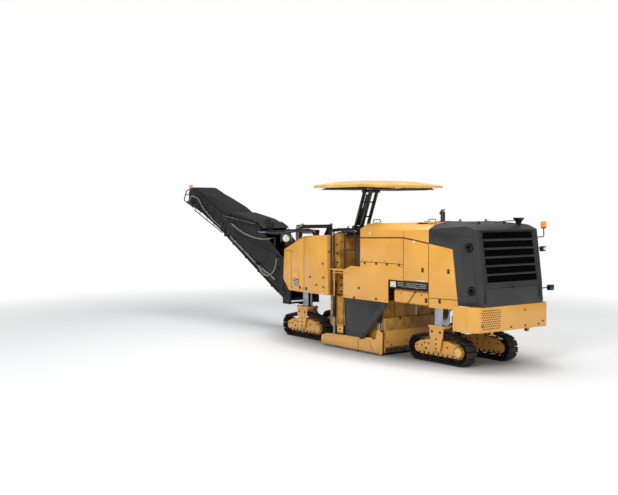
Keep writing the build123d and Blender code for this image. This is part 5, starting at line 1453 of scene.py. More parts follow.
class PLANER_OT_side_plates(bpy.types.Operator):
    """Side skids with their runners, ribs, chrome guide rods and the step box"""
    bl_idname = "planer.side_plates"
    bl_label = "Side Plates"

    def execute(self, context):
        across = context.scene.planer_sizes.bolt_across
        for name, side in (("left", 1), ("right", -1)):
            work = Piece(f"side_skid_{name}", f"side_plate_{name}", "yellow_paint", "yellow_powder_coat",
                "worn_steel", "hard_chrome", "forged_steel", "black_gloss_enamel", "tread_plate")
            work.cad(f"side_plate_{name}")
            outer = PLATE_Y + 0.034
            mirror = Matrix.Diagonal((1, side, 1, 1))
            low, high = DRUM.x - 1.0, DRUM.x + 1.16

            def put(part, finish):
                if side < 0:
                    bmesh.ops.transform(part, matrix=mirror, verts=part.verts)
                    bmesh.ops.reverse_faces(part, faces=part.faces)
                work.add(part, finish)

            # Wear strip along the ground, top flange with its fold lines, and patch plates.
            put(block((low, outer - 0.002, 0.004), (high, outer + 0.005, 0.055), 0.002), 1)
            for x in (-0.92, -0.55, -0.18, 0.19, 0.56, 0.93):
                put(bolt((DRUM.x + x, outer - 0.004, 0.03), ACROSS, across * 0.6), 3)
            upper = [(DRUM.x - 0.68, 0.35), (DRUM.x - 0.38, 0.345), (DRUM.x + 0.98, 0.305),
                (DRUM.x + 1.21, 0.24)]
            put(ribbon(upper, "Y", outer - 0.001, outer + 0.006, 0.022), 0)
            put(ribbon([(DRUM.x - 0.20, 0.07), (DRUM.x - 0.20, 0.32)], "Y", outer - 0.001, outer + 0.006,
                0.01), 3)
            put(ribbon([(DRUM.x - 0.75, 0.09), (DRUM.x - 0.62, 0.30)], "Y", outer - 0.001, outer + 0.004,
                0.01), 3)
            put(plate([(DRUM.x - 1.05, 0.10), (DRUM.x - 0.90, 0.07), (DRUM.x - 0.90, 0.55),
                (DRUM.x - 1.04, 0.58)], "Y", outer - 0.001, outer + 0.005, 0.002), 0)
            for z in (0.16, 0.34, 0.50):
                put(bolt((DRUM.x - 0.97, outer - 0.005, z), ACROSS, across * 0.6), 3)
            for at in GUIDE_RODS:
                put(turned([(0.0252, 0.262), (0.0258, 0.262), (0.0258, 1.199), (0.0252, 1.199)], at, UP, 28),
                    2)
                put(turned([(0.0255, 0.255), (0.044, 0.255), (0.044, 0.285), (0.034, 0.30), (0.0255, 0.30)],
                    at, UP, 22), 3)
            # Front step: box with a tread, carried by the skid.
            x = DRUM.x + 0.36
            put(block((x, outer - 0.04, 0.36), (x + 0.34, outer + 0.012, 0.385), 0.004), 4)
            put(block((x + 0.01, outer - 0.16, 0.585), (x + 0.33, outer + 0.01, 0.602), 0.004), 5)
            for edge in (x + 0.01, x + 0.315):
                put(block((edge, outer - 0.05, 0.335), (edge + 0.018, outer + 0.006, 0.60), 0.004), 4)
            put(block((x + 0.05, outer - 0.03, 0.39), (x + 0.29, outer - 0.012, 0.575), 0.006), 0)
            put(bolt((x + 0.17, outer - 0.012, 0.48), ACROSS, across), 3)
            # Bright sensor rod at the rear end and its clamp.
            put(bar((DRUM.x - 1.06, outer - 0.012, 0.56), (DRUM.x - 1.06, outer - 0.012, 0.80), 0.014, 0.002,
                16), 2)
            put(block((DRUM.x - 1.095, outer - 0.035, 0.575), (DRUM.x - 1.02, outer + 0.004, 0.62), 0.006),
                3)
            work.done(f"side_plate_{name}")
        return {"FINISHED"}


class PLANER_OT_moldboard(bpy.types.Operator):
    """Scraper door behind the drum with its ribs, cutting edge and bolts"""
    bl_idname = "planer.moldboard"
    bl_label = "Moldboard"

    def execute(self, context):
        across = context.scene.planer_sizes.bolt_across
        back = DRUM.x - 0.99 - 0.0303
        work = Piece("scraper_door", "moldboard", "yellow_paint", "yellow_powder_coat", "worn_steel",
            "forged_steel", "yellow_coat_shade_and_dust")
        work.cad("moldboard")
        work.add(block((back - 0.030, -1.06, 0.062), (back - 0.018, 1.06, 0.165), 0.003), 1)
        for number in range(15):
            y = -1.0 + number * 2.0 / 14
            work.add(bolt((back - 0.030, y, 0.115), (-1, 0, 0), across), 2)
        # Plain cover plates over the ribs: the lower one in the plain coat, the upper one in the darker coat,
        # painted shade under the housing.
        work.add(block((back - 0.062, -1.075, 0.205), (back - 0.054, 1.075, 0.60), 0.003))
        work.add(block((back - 0.061, -1.075, 0.604), (back - 0.054, 1.075, 0.868), 0.003), 3)
        for y in (-0.9, -0.3, 0.3, 0.9):
            work.add(bolt((back - 0.062, y, 0.25), (-1, 0, 0), across * 0.9), 2)
            work.add(bolt((back - 0.062, y + 0.12, 0.33), (-1, 0, 0), across * 0.7), 2)
        for y in (-0.62, 0.62):
            work.add(collar(0.02, 0.042, -0.012, 0.012, (back - 0.05, y, 0.885), ACROSS, 22), 2)
        work.done("moldboard")
        return {"FINISHED"}


# ---- Frame and engine -------------------------------------------------------------
class PLANER_OT_chassis(bpy.types.Operator):
    """Main frame, engine block with its fan and pipes, and the first conveyor"""
    bl_idname = "planer.chassis"
    bl_label = "Chassis"

    def execute(self, context):
        across = context.scene.planer_sizes.bolt_across
        work = Piece("frame_rails", "chassis", "yellow_paint", "yellow_coat_shade_and_dust", "forged_steel",
            "hose_rubber", "black_conveyor_coat")
        work.cad("main_frame")
        for x in (-1.0, -0.5, 1.3, 1.7, 3.7, 4.2):
            for z in (1.37, 1.47):
                work.pair(bolt((REAR + x, 0.541, z), ACROSS, across), 1)
        for z, y in ((1.40, 0.565), (1.44, 0.57), (1.48, 0.565)):
            work.pair(pipe([(REAR + 0.3, y, z), (REAR + 1.2, y, z + 0.01), (REAR + 1.9, y + 0.01, z)], 0.012,
                0.1, 8), 2)
        work.done("main_frame")

        engine = Piece("engine_unit", "chassis", "engine_iron", "cast_iron", "forged_steel", "worn_steel",
            "black_rubber", "yellow_powder_coat")
        engine.cad("engine_block", 0.02)
        rear, front = REAR - 0.60, REAR + 1.10
        for number in range(6):
            x = front - 0.30 - number * 0.20
            engine.add(block((x - 0.085, -0.16, 2.498), (x + 0.085, 0.16, 2.58), 0.02))
            engine.pair(block((x - 0.06, 0.428, 2.18), (x + 0.06, 0.47, 2.36), 0.012))
            for shift in (-0.06, 0.06):
                engine.pair(bolt((x + shift, 0.12, 2.58), UP, 0.02), 1)
        engine.add(turned([(0, 0), (0.10, 0), (0.40, 0.02), (0.42, 0.03), (0.42, 0.06), (0.36, 0.07),
            (0.10, 0.05), (0, 0.06)], (rear, 0, 2.12), (-1, 0, 0), 36), 3)
        engine.add(pipe([(front - 0.2, 0.50, 2.40), (REAR + 0.30, 0.50, 2.42), (REAR + 0.07, 0.55, 2.60),
            (REAR + 0.07, 0.60, 3.19)], 0.045, 0.12, 14), 2)
        engine.done("engine_block")

        belt = Piece("first_conveyor", "chassis", "black_paint", "black_conveyor_coat", "belt_rubber_ply",
            "forged_steel")
        belt.cad("primary_conveyor")
        belt.done("primary_conveyor")
        return {"FINISHED"}


# ---- Loading conveyor -------------------------------------------------------------
def boom_flat(*points):
    """(x, z) pairs given along the lower section."""
    return flat([boom(along, above) for along, above in points])


def nose_flat(*points):
    """(x, z) pairs given along the folding section."""
    return flat([nose(along, above) for along, above in points])


def pressed_down(node, width, origin, tilt, seat, share):
    """Softened copy of a conveyor cover whose height above its seat line is cut to a share."""
    part = softened(node, width)
    for vert in part.verts:
        run, rise = vert.co.x - origin.x, vert.co.z - origin.z
        along, above = run * cos(tilt) + rise * sin(tilt), rise * cos(tilt) - run * sin(tilt)
        base = seat(along)
        if above > base:
            vert.co = sloped(origin, tilt, along, base + (above - base) * share, vert.co.y)
    bmesh.ops.recalc_face_normals(part, faces=part.faces)
    return part


def boom_seat(along):
    """Height of the lower section's rim along it."""
    return 1.0 - max(0.0, along - 2.204) * 0.378


def nose_seat(along):
    """Height of the folding section's rim along it."""
    return 0.53 - max(0.0, along - 2.08) * 0.10


class PLANER_OT_conveyor_mount(bpy.types.Operator):
    """Portal that carries the loading conveyor, and the slewing yoke"""
    bl_idname = "planer.conveyor_mount"
    bl_label = "Conveyor Mount"

    def execute(self, context):
        across = context.scene.planer_sizes.bolt_across
        work = Piece("portal_frame", "chassis", "black_paint", "black_conveyor_coat", "forged_steel",
            "hose_rubber", "black_gloss_enamel")
        work.cad("conveyor_mount")
        front = FRONT + 0.66
        for z in (1.23, 3.01):
            for y in (0.495, 0.555):
                work.pair(bolt((front, y, z), ALONG, across), 1)
        for z in (1.6, 2.1, 2.6):
            work.pair(block((front - 0.165, 0.478, z), (front + 0.004, 0.572, z + 0.02), 0.003, 1))
        # Cross brace and bundled hoses up the outer side of the left post.
        for shift in range(3):
            y = 0.592 + 0.004 * shift
            x = front - 0.13 + shift * 0.045
            work.pair(pipe([(x, y, 1.35), (x, y, 2.20), (x + 0.01, y, 2.98), (x - 0.12, y - 0.10, 3.085)],
                0.017, 0.06, 10), 2)
        for z in (1.55, 2.05, 2.55, 2.9):
            work.pair(block((front - 0.16, 0.568, z - 0.012), (front + 0.002, 0.618, z + 0.012), 0.005, 1),
                3)
        work.done("conveyor_mount")

        yoke = Piece("slew_frame", "conveyor_yoke", "black_paint", "black_conveyor_coat", "forged_steel",
            "worn_steel", "hose_rubber")
        yoke.cad("slew_yoke")
        outer = 0.505
        rim = [(SLEW - 0.15, 0.815), (SLEW + 0.19, 0.815), (SLEW + 0.19, 1.255), (SLEW + 0.07, 2.19),
            (SLEW + 0.07, 2.89), (SLEW - 0.15, 2.89), (SLEW - 0.15, 0.815)]
        yoke.strip(rim, outer, 0.012, 0.02, 0)
        for x, z, radius in ((BOOM_PIN.x, BOOM_PIN.z, 0.075), (SLEW - 0.02, 2.84, 0.06)):
            yoke.pair(turned([(0, 0), (radius, 0), (radius, 0.014), (radius * 0.7, 0.018), (0, 0.018)],
                (x, outer, z), ACROSS, 30), 1)
        for z in (1.45, 1.95, 2.45):
            yoke.pair(bolt((SLEW - 0.06, outer, z), ACROSS, across * 0.8), 1)
        yoke.done("slew_yoke")
        return {"FINISHED"}


class PLANER_OT_boom(bpy.types.Operator):
    """Lower conveyor section: ribbed walls, cover, fan, rollers, rigid pipe and hose clips"""
    bl_idname = "planer.boom"
    bl_label = "Conveyor Boom"

    def execute(self, context):
        across = context.scene.planer_sizes.bolt_across
        wall = BOOM_HALF
        work = Piece("boom_walls", "conveyor_boom", "black_paint", *SECTION_FINISHES)
        work.cad("boom_frame", 0.003)
        # Pressed ribs that fan out from the knee, upright stiffeners and the folded upper rim.
        for share in (0.12, 0.37, 0.62, 0.87):
            near, far = -0.176 + share * 0.83, -0.176 + share * 0.27
            work.strip(boom_flat((0.55, near), (3.28, far)), wall, 0.007, 0.03, 1)
        for along in (0.62, 1.35, 2.10, 2.85, 3.45):
            top = 0.62 - 0.17 * max(0.0, along - 0.6)
            work.strip(boom_flat((along, -0.17), (along, top)), wall, 0.009, 0.02, 0)
        rim = boom_flat((-0.1, 0.19), (0.455, 0.74), (1.70, 0.885), (2.204, 0.968), (3.63, 0.435))
        work.strip(rim, wall, 0.012, 0.024, 0)
        for along in (0.2, 0.5, 0.8, 1.1, 1.4, 1.7, 2.0, 2.3, 2.6, 2.9, 3.2, 3.5):
            at = boom(along, -0.20, wall + 0.024)
            work.pair(bolt(at, ACROSS, across * 0.7), 2)
        for along, above in ((0.75, 0.80), (1.25, 0.85), (1.75, 0.90), (2.30, 0.92), (2.80, 0.74),
                (3.30, 0.55)):
            work.pair(bolt(boom(along, above - 0.02, wall + 0.012), ACROSS, across * 0.6), 2)
        # Return rollers under the belt and carrying rollers inside.
        for along in (0.95, 1.75, 2.55):
            low = boom(along, -0.186)
            work.add(bar((low.x, -0.43, low.z), (low.x, 0.43, low.z), 0.03, 0.004, 16), 2)
        # Fan housing on the upper rim with its ring, guard and hub.
        fan_pin = (SLEW + 0.94, 0.40, 3.085)
        work.add(turned([(0, 0.0), (0.155, 0.0), (0.165, 0.012), (0.165, 0.10), (0.150, 0.112),
            (0.150, 0.09), (0.02, 0.085), (0, 0.085)], fan_pin, ACROSS, 40), 1)
        for ring in (0.05, 0.085, 0.12):
            work.add(collar(ring - 0.004, ring + 0.004, 0.104, 0.110, fan_pin, ACROSS, 32), 4)
        for blade in range(8):
            turn = blade * tau / 8
            spoke = pitched(fan_pin, turn)
            work.add(block((-0.004, 0.100, 0.015), (0.004, 0.108, 0.152), 0.001, 1), 4, place=spoke)
        work.add(turned([(0, 0.085), (0.03, 0.085), (0.03, 0.115), (0.02, 0.12), (0, 0.12)], fan_pin, ACROSS,
            20), 2)
        work.add(block((fan_pin[0] - 0.07, 0.405, 2.86), (fan_pin[0] + 0.07, 0.452, 2.99), 0.008))
        # Rigid pipe and its clamps along the left wall.
        top, foot = Vector((REAR + 9.74, 0.515, 3.30)), Vector((REAR + 7.92, 0.515, 3.055))
        work.add(bar(top, foot, 0.016, 0.002, 16), 5)
        for share in (0.04, 0.5, 0.97):
            at = top.lerp(foot, share)
            work.add(block((at.x - 0.025, 0.448, at.z - 0.022), (at.x + 0.025, 0.535, at.z + 0.022), 0.005),
                2)
        # Hose bundle that climbs beside the lower wall, clipped every half metre.
        low = [boom(0.62, 0.03, 0.486), boom(0.85, 0.01, 0.482), boom(1.6, -0.09, 0.482),
            boom(3.3, -0.12, 0.482)]
        for shift in (0.0, 0.036):
            work.add(pipe([p + Vector((0, 0, shift)) for p in low], 0.014, 0.25, 10), 3)
        for along in (1.0, 1.7, 2.4, 3.1):
            at = boom(along, -0.07 - 0.012 * along, 0.475)
            work.add(block((at.x - 0.02, 0.452, at.z - 0.03), (at.x + 0.02, 0.502, at.z + 0.05), 0.004, 1),
                4)
        # Sockets at both ends of the hanging hoses.
        for route in HOSES.values():
            for (x, z), inner in ((route[0], route[1]), (route[-1], route[-2])):
                run = Vector((x - inner[0], 0, z - inner[1])).normalized()
                work.add(turned([(0.019, -0.02), (0.026, -0.02), (0.026, 0.02), (0.023, 0.025),
                    (0.023, 0.05), (0, 0.05)], (x, HOSE_Y, z), run, 6), 5)
        work.done("boom_frame")

        cover = Piece("boom_roof", "conveyor_boom", "black_paint", "black_conveyor_coat",
            "black_gloss_enamel", "forged_steel")
        cover.add(pressed_down("boom_cover", 0.006, BOOM_PIN, BOOM_TILT, boom_seat, BOOM_COVER_SHARE))
        for along in (2.3, 2.75, 3.2, 3.55):
            low = boom_seat(along)
            cover.strip(boom_flat((along, low), (along, low + 0.06)), wall, 0.006, 0.022, 0)
        edge = boom_flat((1.92, 1.03), (2.204, 1.01), (3.62, 0.478))
        cover.strip(edge, wall, 0.010, 0.03, 0)
        for along in (2.0, 2.35, 2.7, 3.05, 3.4):
            above = 1.012 - max(0.0, along - 2.204) * 0.373
            cover.pair(bolt(boom(along, above, wall + 0.010), ACROSS, across * 0.6), 2)
        cover.done("boom_cover")
        return {"FINISHED"}


class PLANER_OT_nose(bpy.types.Operator):
    """Folding conveyor section: walls, ribbed cover, head motor, tube guard, hoses and beacon"""
    bl_idname = "planer.nose"
    bl_label = "Conveyor Nose"

    def execute(self, context):
        across = context.scene.planer_sizes.bolt_across
        wall = NOSE_HALF
        work = Piece("nose_walls", "conveyor_nose", "black_paint", *SECTION_FINISHES)
        work.cad("nose_frame", 0.003)
        for along in (0.12, 0.55, 1.0, 1.45, 1.9):
            work.strip(nose_flat((along, 0.045), (along, 0.47)), wall, 0.012, 0.022, 0)
        for start, end in ((0.12, 0.55), (0.55, 1.0), (1.0, 1.45), (1.45, 1.9)):
            work.strip(nose_flat((start, 0.05), (end, 0.46)), wall, 0.009, 0.018, 1)
        # Chord tube under the belt with its hangers, which lets light through.
        start, end = nose(0.25, -0.055, wall - 0.02), nose(2.15, -0.155, wall - 0.02)
        work.pair(bar(start, end, 0.016, 0.002, 12), 4)
        for share in (0.05, 0.3, 0.55, 0.8, 0.97):
            foot = start.lerp(end, share)
            head = foot + Vector((0, 0, 0.075 + 0.03 * share))
            work.pair(bar(foot, head, 0.010, 0.002, 10), 4)
        # Head drive: motor, its flange and bearing plates at the top pulley.
        head = nose(2.395, 0.015)
        for side in (1, -1):
            work.add(turned([(0, -0.004), (0.105, -0.004), (0.105, 0.012), (0.075, 0.016), (0.062, 0.03),
                (0, 0.03)], (head.x, side * wall, head.z), (0, side, 0), 30), 2)
            work.bolt_circle((head.x, side * (wall + 0.012), head.z), 0.09, 6, (0, side, 0), 0.018, 5)
        work.add(turned([(0, 0.03), (0.07, 0.03), (0.07, 0.10), (0.06, 0.11), (0.052, 0.16), (0.03, 0.175),
            (0, 0.175)], (head.x, wall, head.z), ACROSS, 28), 1)
        # Tensioner at the tail end.
        for side in (1, -1):
            a, b = nose(0.30, 0.23, side * (wall + 0.02)), nose(0.62, 0.215, side * (wall + 0.02))
            work.add(bar(a, b, 0.012, 0.002, 12), 5)
            work.add(block((a.x - 0.03, min(side * wall, side * (wall + 0.035)), a.z - 0.03),
                (a.x + 0.03, max(side * wall, side * (wall + 0.035)), a.z + 0.03), 0.005), 2)
        # Hose from the head motor back to the knee, clipped to the wall.
        route = [head + Vector((-0.02, wall + 0.12, 0.07)), nose(2.30, 0.30, wall + 0.10),
            nose(2.02, 0.34, wall + 0.045), nose(1.60, 0.18, wall + 0.03), nose(0.9, 0.10, wall + 0.03),
            nose(0.35, 0.10, wall + 0.03)]
        work.add(pipe(route, 0.016, 0.10, 10), 3)
        for along, above in ((1.72, 0.225), (1.2, 0.135), (0.6, 0.10)):
            at = nose(along, above, wall + 0.02)
            work.add(block((at.x - 0.02, wall - 0.002, at.z - 0.028),
                (at.x + 0.02, wall + 0.05, at.z + 0.028), 0.004, 1), 4)
        # Knee hinge plates and their pins.
        for side in (1, -1):
            work.add(turned([(0, -0.002), (0.06, -0.002), (0.06, 0.01), (0.045, 0.014), (0, 0.014)],
                (KNEE.x, side * (BOOM_HALF + 0.006), KNEE.z), (0, side, 0), 28), 2)
            for along, above in ((0.05, 0.46), (0.05, 0.25), (0.05, 0.08)):
                work.add(bolt(nose(along, above, side * wall), (0, side, 0), across * 0.8), 2)
        # Deflector flap in front of the discharge.
        flap = nose_flat((2.655, 0.42), (2.80, 0.30), (2.815, 0.12), (2.805, 0.115), (2.79, 0.295),
            (2.65, 0.41))
        work.add(plate(flap, "Y", -0.36, 0.36, 0.002))
        work.done("nose_frame")

        cover = Piece("nose_roof", "conveyor_nose", "black_paint", "black_conveyor_coat",
            "black_gloss_enamel", "forged_steel", "amber_lens")
        cover.add(pressed_down("nose_cover", 0.006, KNEE, NOSE_TILT, nose_seat, NOSE_COVER_SHARE))
        for along in (0.10, 0.55, 1.0, 1.395):
            cover.strip(nose_flat((along, 0.54), (along, 0.66 - 0.045 * along)), wall, 0.006, 0.020, 0)
        cover.strip(nose_flat((0.02, 0.535), (2.07, 0.535), (2.52, 0.49)), wall, 0.010, 0.03, 0)
        for along in (0.3, 0.75, 1.2, 1.65, 2.0):
            cover.pair(bolt(nose(along, 0.535, wall + 0.010), ACROSS, across * 0.6), 2)
        knob = nose(1.395, nose_seat(1.395) + 0.37 * NOSE_COVER_SHARE)
        cover.add(turned([(0, 0), (0.035, 0), (0.035, 0.02), (0.018, 0.03), (0.018, 0.045), (0.045, 0.05),
            (0.045, 0.07), (0, 0.075)], (knob.x, 0.25, knob.z - 0.006), (-0.2, 0, 1), 22), 1)
        mast = nose(2.70, 0.33)
        cover.add(bar(nose(2.47, 0.42, 0.37), mast + Vector((0, 0.37, 0.0)), 0.018, 0.002, 12), 1)
        cover.add(bar((mast.x, 0.37, mast.z - 0.03), (mast.x, 0.37, mast.z + 0.045), 0.02, 0.002, 14), 1)
        cover.add(turned([(0, 0), (0.064, 0), (0.064, 0.018), (0, 0.022)], (mast.x, 0.37, mast.z + 0.04), UP,
            24), 1)
        cover.add(turned([(0, 0.022), (0.058, 0.022), (0.058, 0.105), (0.047, 0.122), (0, 0.128)],
            (mast.x, 0.37, mast.z + 0.04), UP, 24), 3)
        cover.done("nose_cover")
        return {"FINISHED"}


class PLANER_OT_belts(bpy.types.Operator):
    """Endless belts with raised chevron cleats round their pulleys"""
    bl_idname = "planer.belts"
    bl_label = "Conveyor Belts"

    def execute(self, context):
        belts = [
            # name, CAD node, body, tail and head pulley, pulley radius
            ("boom_belt_band", "boom_belt", "conveyor_boom", boom(0.23, 0.02), boom(3.33, 0.0), 0.14),
            ("nose_belt_band", "nose_belt", "conveyor_nose", nose(0.23, 0.20), nose(2.395, 0.015), 0.11),
        ]
        for name, node, body, tail, head, radius in belts:
            work = Piece(name, body, "belt_rubber", "belt_rubber_ply", "worn_steel", "forged_steel")
            run = head - tail
            tilt = atan2(run.z, run.x)
            outer = radius + 0.011
            steps = 14
            loop = []
            for centre, start in ((head, tilt - pi / 2), (tail, tilt + pi / 2)):
                for step in range(steps + 1):
                    turn = start + pi * step / steps
                    loop.append((centre.x, centre.z, turn))
            part = bmesh.new()
            rows = []
            for reach in (outer, radius):
                rows.append([[part.verts.new((x + reach * cos(turn), side * 0.39, z + reach * sin(turn)))
                    for side in (1, -1)] for x, z, turn in loop])
            count = len(loop)
            for spot in range(count):
                here, there = rows[0][spot], rows[0][(spot + 1) % count]
                back, onward = rows[1][spot], rows[1][(spot + 1) % count]
                part.faces.new((here[0], there[0], there[1], here[1]))
                part.faces.new((back[0], back[1], onward[1], onward[0]))
                part.faces.new((here[0], back[0], onward[0], there[0]))
                part.faces.new((here[1], there[1], onward[1], back[1]))
            work.add(rounded(part, 0, 0))
            # Chevron cleats, three millimetres proud, along the carrying and the return run.
            pitch = 0.25
            for number in range(int(run.length / pitch)):
                for face in (1, -1):
                    share = (number + 0.5) * pitch
                    turn = pitched(tail + run.normalized() * share, -tilt)
                    height = face * outer
                    for side in (1, -1):
                        cleat = bar((0.05, 0, height), (-0.06, side * 0.33, height), 0.003, 0.0, 6)
                        work.add(cleat, 0, place=turn)
            for pin in (tail, head):
                work.add(turned([(0, -0.385), (radius - 0.004, -0.385), (radius - 0.001, -0.37),
                    (radius - 0.001, 0.37), (radius - 0.004, 0.385), (0, 0.385)], pin, ACROSS, 40), 2)
                work.add(bar((pin.x, -0.412, pin.z), (pin.x, 0.412, pin.z), 0.039, 0.003, 24), 1)
            work.done(node)
        return {"FINISHED"}


class PLANER_OT_lift_cylinders(bpy.types.Operator):
    """Lift cylinders of the loading conveyor: black barrels, glands and chrome rods"""
    bl_idname = "planer.lift_cylinders"
    bl_label = "Lift Cylinders"

    def execute(self, context):
        base = PINS["lift_cylinder_swing"]
        eye = boom(1.975, 0.86)
        run = (Vector((eye.x, 0, eye.z)) - Vector((base.x, 0, base.z)))
        unit = run.normalized()
        barrels = Piece("cylinder_barrels", "lift_barrels", "black_paint", "black_gloss_enamel",
            "forged_steel", "hose_rubber")
        rods = Piece("cylinder_rods", "lift_rods", "chrome", "hard_chrome", "forged_steel",
            "black_gloss_enamel")
        for side in (1, -1):
            foot = Vector((base.x, side * 0.57, base.z))
            barrels.add(turned([(0, 0.06), (0.046, 0.06), (0.0485, 0.07), (0.0485, 0.86), (0.050, 0.865),
                (0.050, 0.925), (0.046, 0.929), (0.0335, 0.929), (0.0335, 0.90)], foot, unit, 32))
            barrels.add(collar(0.0305, 0.057, -0.029, 0.029, foot, ACROSS, 32), 1)
            port = foot + unit * 0.16
            barrels.add(pipe([port + Vector((0, 0, -0.045)), port + Vector((0.0, 0, -0.066)),
                port + unit * 0.60 + Vector((0, 0, -0.066)), port + unit * 0.64 + Vector((0, 0, -0.045))],
                0.008, 0.012, 8), 1)
            rods.add(turned([(0, 0.50), (0.0318, 0.50), (0.0318, run.length - 0.08),
                (0.038, run.length - 0.078), (0.038, run.length - 0.055), (0, run.length - 0.055)], foot,
                unit, 28))
            tip = Vector((eye.x, side * 0.57, eye.z))
            rods.add(collar(0.0525, 0.073, -0.027, 0.027, tip, ACROSS, 32), 1)
        barrels.done("lift_barrels")
        rods.done("lift_rods")
        return {"FINISHED"}


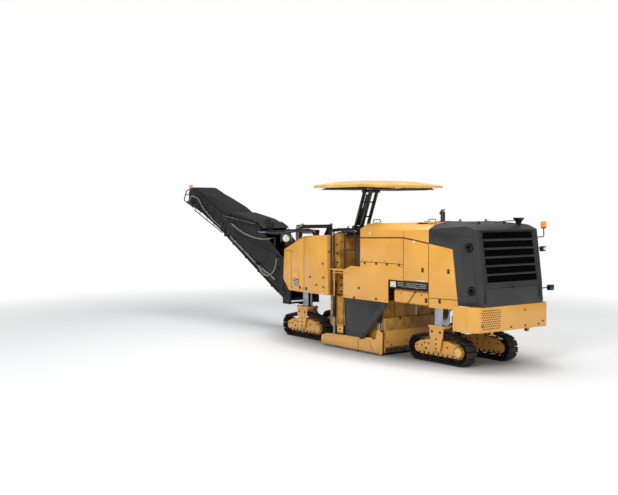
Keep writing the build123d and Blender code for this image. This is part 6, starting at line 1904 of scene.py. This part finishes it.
# ---- Canopy -----------------------------------------------------------------------
class PLANER_OT_canopy(bpy.types.Operator):
    """Crowned roof with its rolled rim and under-frame, and the folding arms that carry it"""
    bl_idname = "planer.canopy"
    bl_label = "Canopy"

    def execute(self, context):
        across = context.scene.planer_sizes.bolt_across
        middle = Vector((FRONT - 2.135, 0, 4.04))
        length, half, edge, crown = 1.83, 1.40, 0.066, 0.110
        roof = Piece("canopy_shell", "canopy", "yellow_paint", "gel_coat_yellow", "black_conveyor_coat",
            "black_gloss_enamel", "forged_steel", "lamp_glass")
        part = bmesh.new()
        cells = 24
        rows = []
        for i in range(cells + 1):
            u = -1 + 2 * i / cells
            row = []
            for j in range(cells + 1):
                v = -1 + 2 * j / cells
                rise = crown * (1 - u ** 4) * (1 - v ** 4)
                lip = 0.012 * (abs(u) > 0.999 or abs(v) > 0.999)
                row.append(part.verts.new((middle.x + u * length / 2, v * half,
                    middle.z + edge + min(rise, crown) - lip)))
            rows.append(row)
        for i in range(cells):
            for j in range(cells):
                part.faces.new((rows[i][j], rows[i + 1][j], rows[i + 1][j + 1], rows[i][j + 1]))
        grown = bmesh.ops.extrude_face_region(part, geom=part.faces[:])
        fresh = verts_of(grown["geom"])
        for vert in fresh:
            u, v = (vert.co.x - middle.x) / (length / 2), vert.co.y / half
            vert.co.z = middle.z - 0.006 - 0.040 * (1 - u * u) * (1 - v * v)
        roof.add(rounded(part, 0, 0))
        # Dark stripe across the crown.
        shift = -0.06
        strip = bmesh.new()
        cross = []
        for j in range(cells + 1):
            v = -0.42 + 0.84 * j / cells
            rise = crown * (1 - (shift / (length / 2)) ** 4) * (1 - v ** 4)
            cross.append([strip.verts.new((middle.x + shift + dx, v * half, middle.z + edge + rise + 0.003))
                for dx in (-0.06, 0.06)])
        for j in range(cells):
            strip.faces.new((cross[j][0], cross[j][1], cross[j + 1][1], cross[j + 1][0]))
        grown = bmesh.ops.extrude_face_region(strip, geom=strip.faces[:])
        bmesh.ops.translate(strip, vec=(0, 0, -0.008), verts=verts_of(grown["geom"]))
        roof.add(rounded(strip, 0, 0), 1)
        # Dark plate under both halves, which the cross members carry: painted shade of the roof's underside.
        roof.pair(block((middle.x - length / 2 + 0.17, 0.21, middle.z - 0.056),
            (middle.x + length / 2 - 0.17, half - 0.14, middle.z - 0.030), 0.010), 1)
        # Under-frame: two cross members, side rails and the hinge brackets.
        for x in (-0.55, -0.05, 0.45):
            roof.add(block((middle.x + x - 0.03, -1.22, middle.z - 0.036),
                (middle.x + x + 0.03, 1.22, middle.z + 0.004), 0.004), 1)
        for y in (0.17, 0.85):
            roof.pair(block((middle.x - 0.80, y - 0.025, middle.z - 0.03),
                (middle.x + 0.80, y + 0.025, middle.z + 0.004), 0.004), 1)
        for x in (FRONT - 1.73, FRONT - 1.96):
            roof.pair(block((x - 0.045, 0.1503, 3.92), (x + 0.045, 0.18, middle.z + 0.004), 0.006), 2)
            roof.pair(bolt((x, 0.18, 3.96), ACROSS, across), 3)
        for x in (-0.82, 0.82):
            roof.pair(block((middle.x + x - 0.05, 0.95, middle.z - 0.05),
                (middle.x + x + 0.05, 1.08, middle.z - 0.004), 0.010), 2)
            roof.pair(block((middle.x + x - 0.04, 0.965, middle.z - 0.056),
                (middle.x + x + 0.04, 1.065, middle.z - 0.048), 0.003), 4)
        roof.done("canopy_roof")
        for name, shift in (("front", 0.0), ("rear", -0.23)):
            foot = Vector((FRONT - 1.35 + shift, 0, 3.02))
            head = Vector((FRONT - 1.73 + shift, 0, 3.96))
            arm = Piece(f"canopy_post_{name}", f"canopy_{name}_arm", "black_paint", "black_gloss_enamel",
                "forged_steel", "hose_rubber")
            run = head - foot
            lean = towards(foot, run)
            for y in (-0.11, 0.11):
                tube = block((-0.035, -0.035, 0.0), (0.035, 0.035, run.length), 0.008, 2)
                arm.add(tube, 0, place=Matrix.Translation((0, y, 0)) @ lean)
            arm.add(bar((foot.x, -0.149, foot.z), (foot.x, 0.149, foot.z), 0.0355, 0.003, 24), 1)
            arm.add(bar((head.x, -0.149, head.z), (head.x, 0.149, head.z), 0.0335, 0.003, 24), 1)
            for share in (0.3, 0.7):
                at = foot.lerp(head, share)
                arm.add(bar((at.x, -0.08, at.z), (at.x, 0.08, at.z), 0.018, 0.002, 14))
            if name == "front":
                low, high = foot.lerp(head, 0.06), foot.lerp(head, 0.52)
                arm.add(bar((low.x + 0.01, 0, low.z), (high.x + 0.01, 0, high.z), 0.045, 0.004, 22))
                top = foot.lerp(head, 0.92)
                arm.add(bar((high.x + 0.01, 0, high.z), (top.x + 0.01, 0, top.z), 0.022, 0.002, 18), 1)
            arm.done(f"canopy_arm_{name}")
        return {"FINISHED"}


# ---- Panel and running ------------------------------------------------------------
OPERATORS = [
    PLANER_OT_stage,
    PLANER_OT_hoses,
    PLANER_OT_track_chains,
    PLANER_OT_track_frames,
    PLANER_OT_legs,
    PLANER_OT_engine_sides,
    PLANER_OT_engine_hood,
    PLANER_OT_rear_shroud,
    PLANER_OT_grille,
    PLANER_OT_bumper,
    PLANER_OT_front_body,
    PLANER_OT_operator_place,
    PLANER_OT_milling_drum,
    PLANER_OT_milling_housing,
    PLANER_OT_side_plates,
    PLANER_OT_moldboard,
    PLANER_OT_chassis,
    PLANER_OT_conveyor_mount,
    PLANER_OT_boom,
    PLANER_OT_nose,
    PLANER_OT_belts,
    PLANER_OT_lift_cylinders,
    PLANER_OT_canopy,
]


class PLANER_PT_dressing(bpy.types.Panel):
    """Sizes, colours and steps of the cold planer's dressing"""
    bl_idname = "PLANER_PT_dressing"
    bl_label = "Cold Planer"
    bl_space_type = "VIEW_3D"
    bl_region_type = "UI"
    bl_category = "Cold Planer"

    def draw(self, context):
        for group in settings(context):
            for name in group.__annotations__:
                self.layout.prop(group, name)
        for operator in OPERATORS:
            self.layout.operator(operator.bl_idname)


CLASSES = [PlanerSizes, PlanerFinishes, *OPERATORS, PLANER_PT_dressing]


def register():
    for made in CLASSES:
        bpy.utils.register_class(made)
    bpy.types.Scene.planer_sizes = bpy.props.PointerProperty(type=PlanerSizes)
    bpy.types.Scene.planer_finishes = bpy.props.PointerProperty(type=PlanerFinishes)


def unregister():
    del bpy.types.Scene.planer_finishes
    del bpy.types.Scene.planer_sizes
    for made in reversed(CLASSES):
        bpy.utils.unregister_class(made)


def main():
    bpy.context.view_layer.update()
    register()
    for operator in OPERATORS:
        group, name = operator.bl_idname.split(".")
        getattr(getattr(bpy.ops, group), name)()


if __name__ == "__main__":
    main()
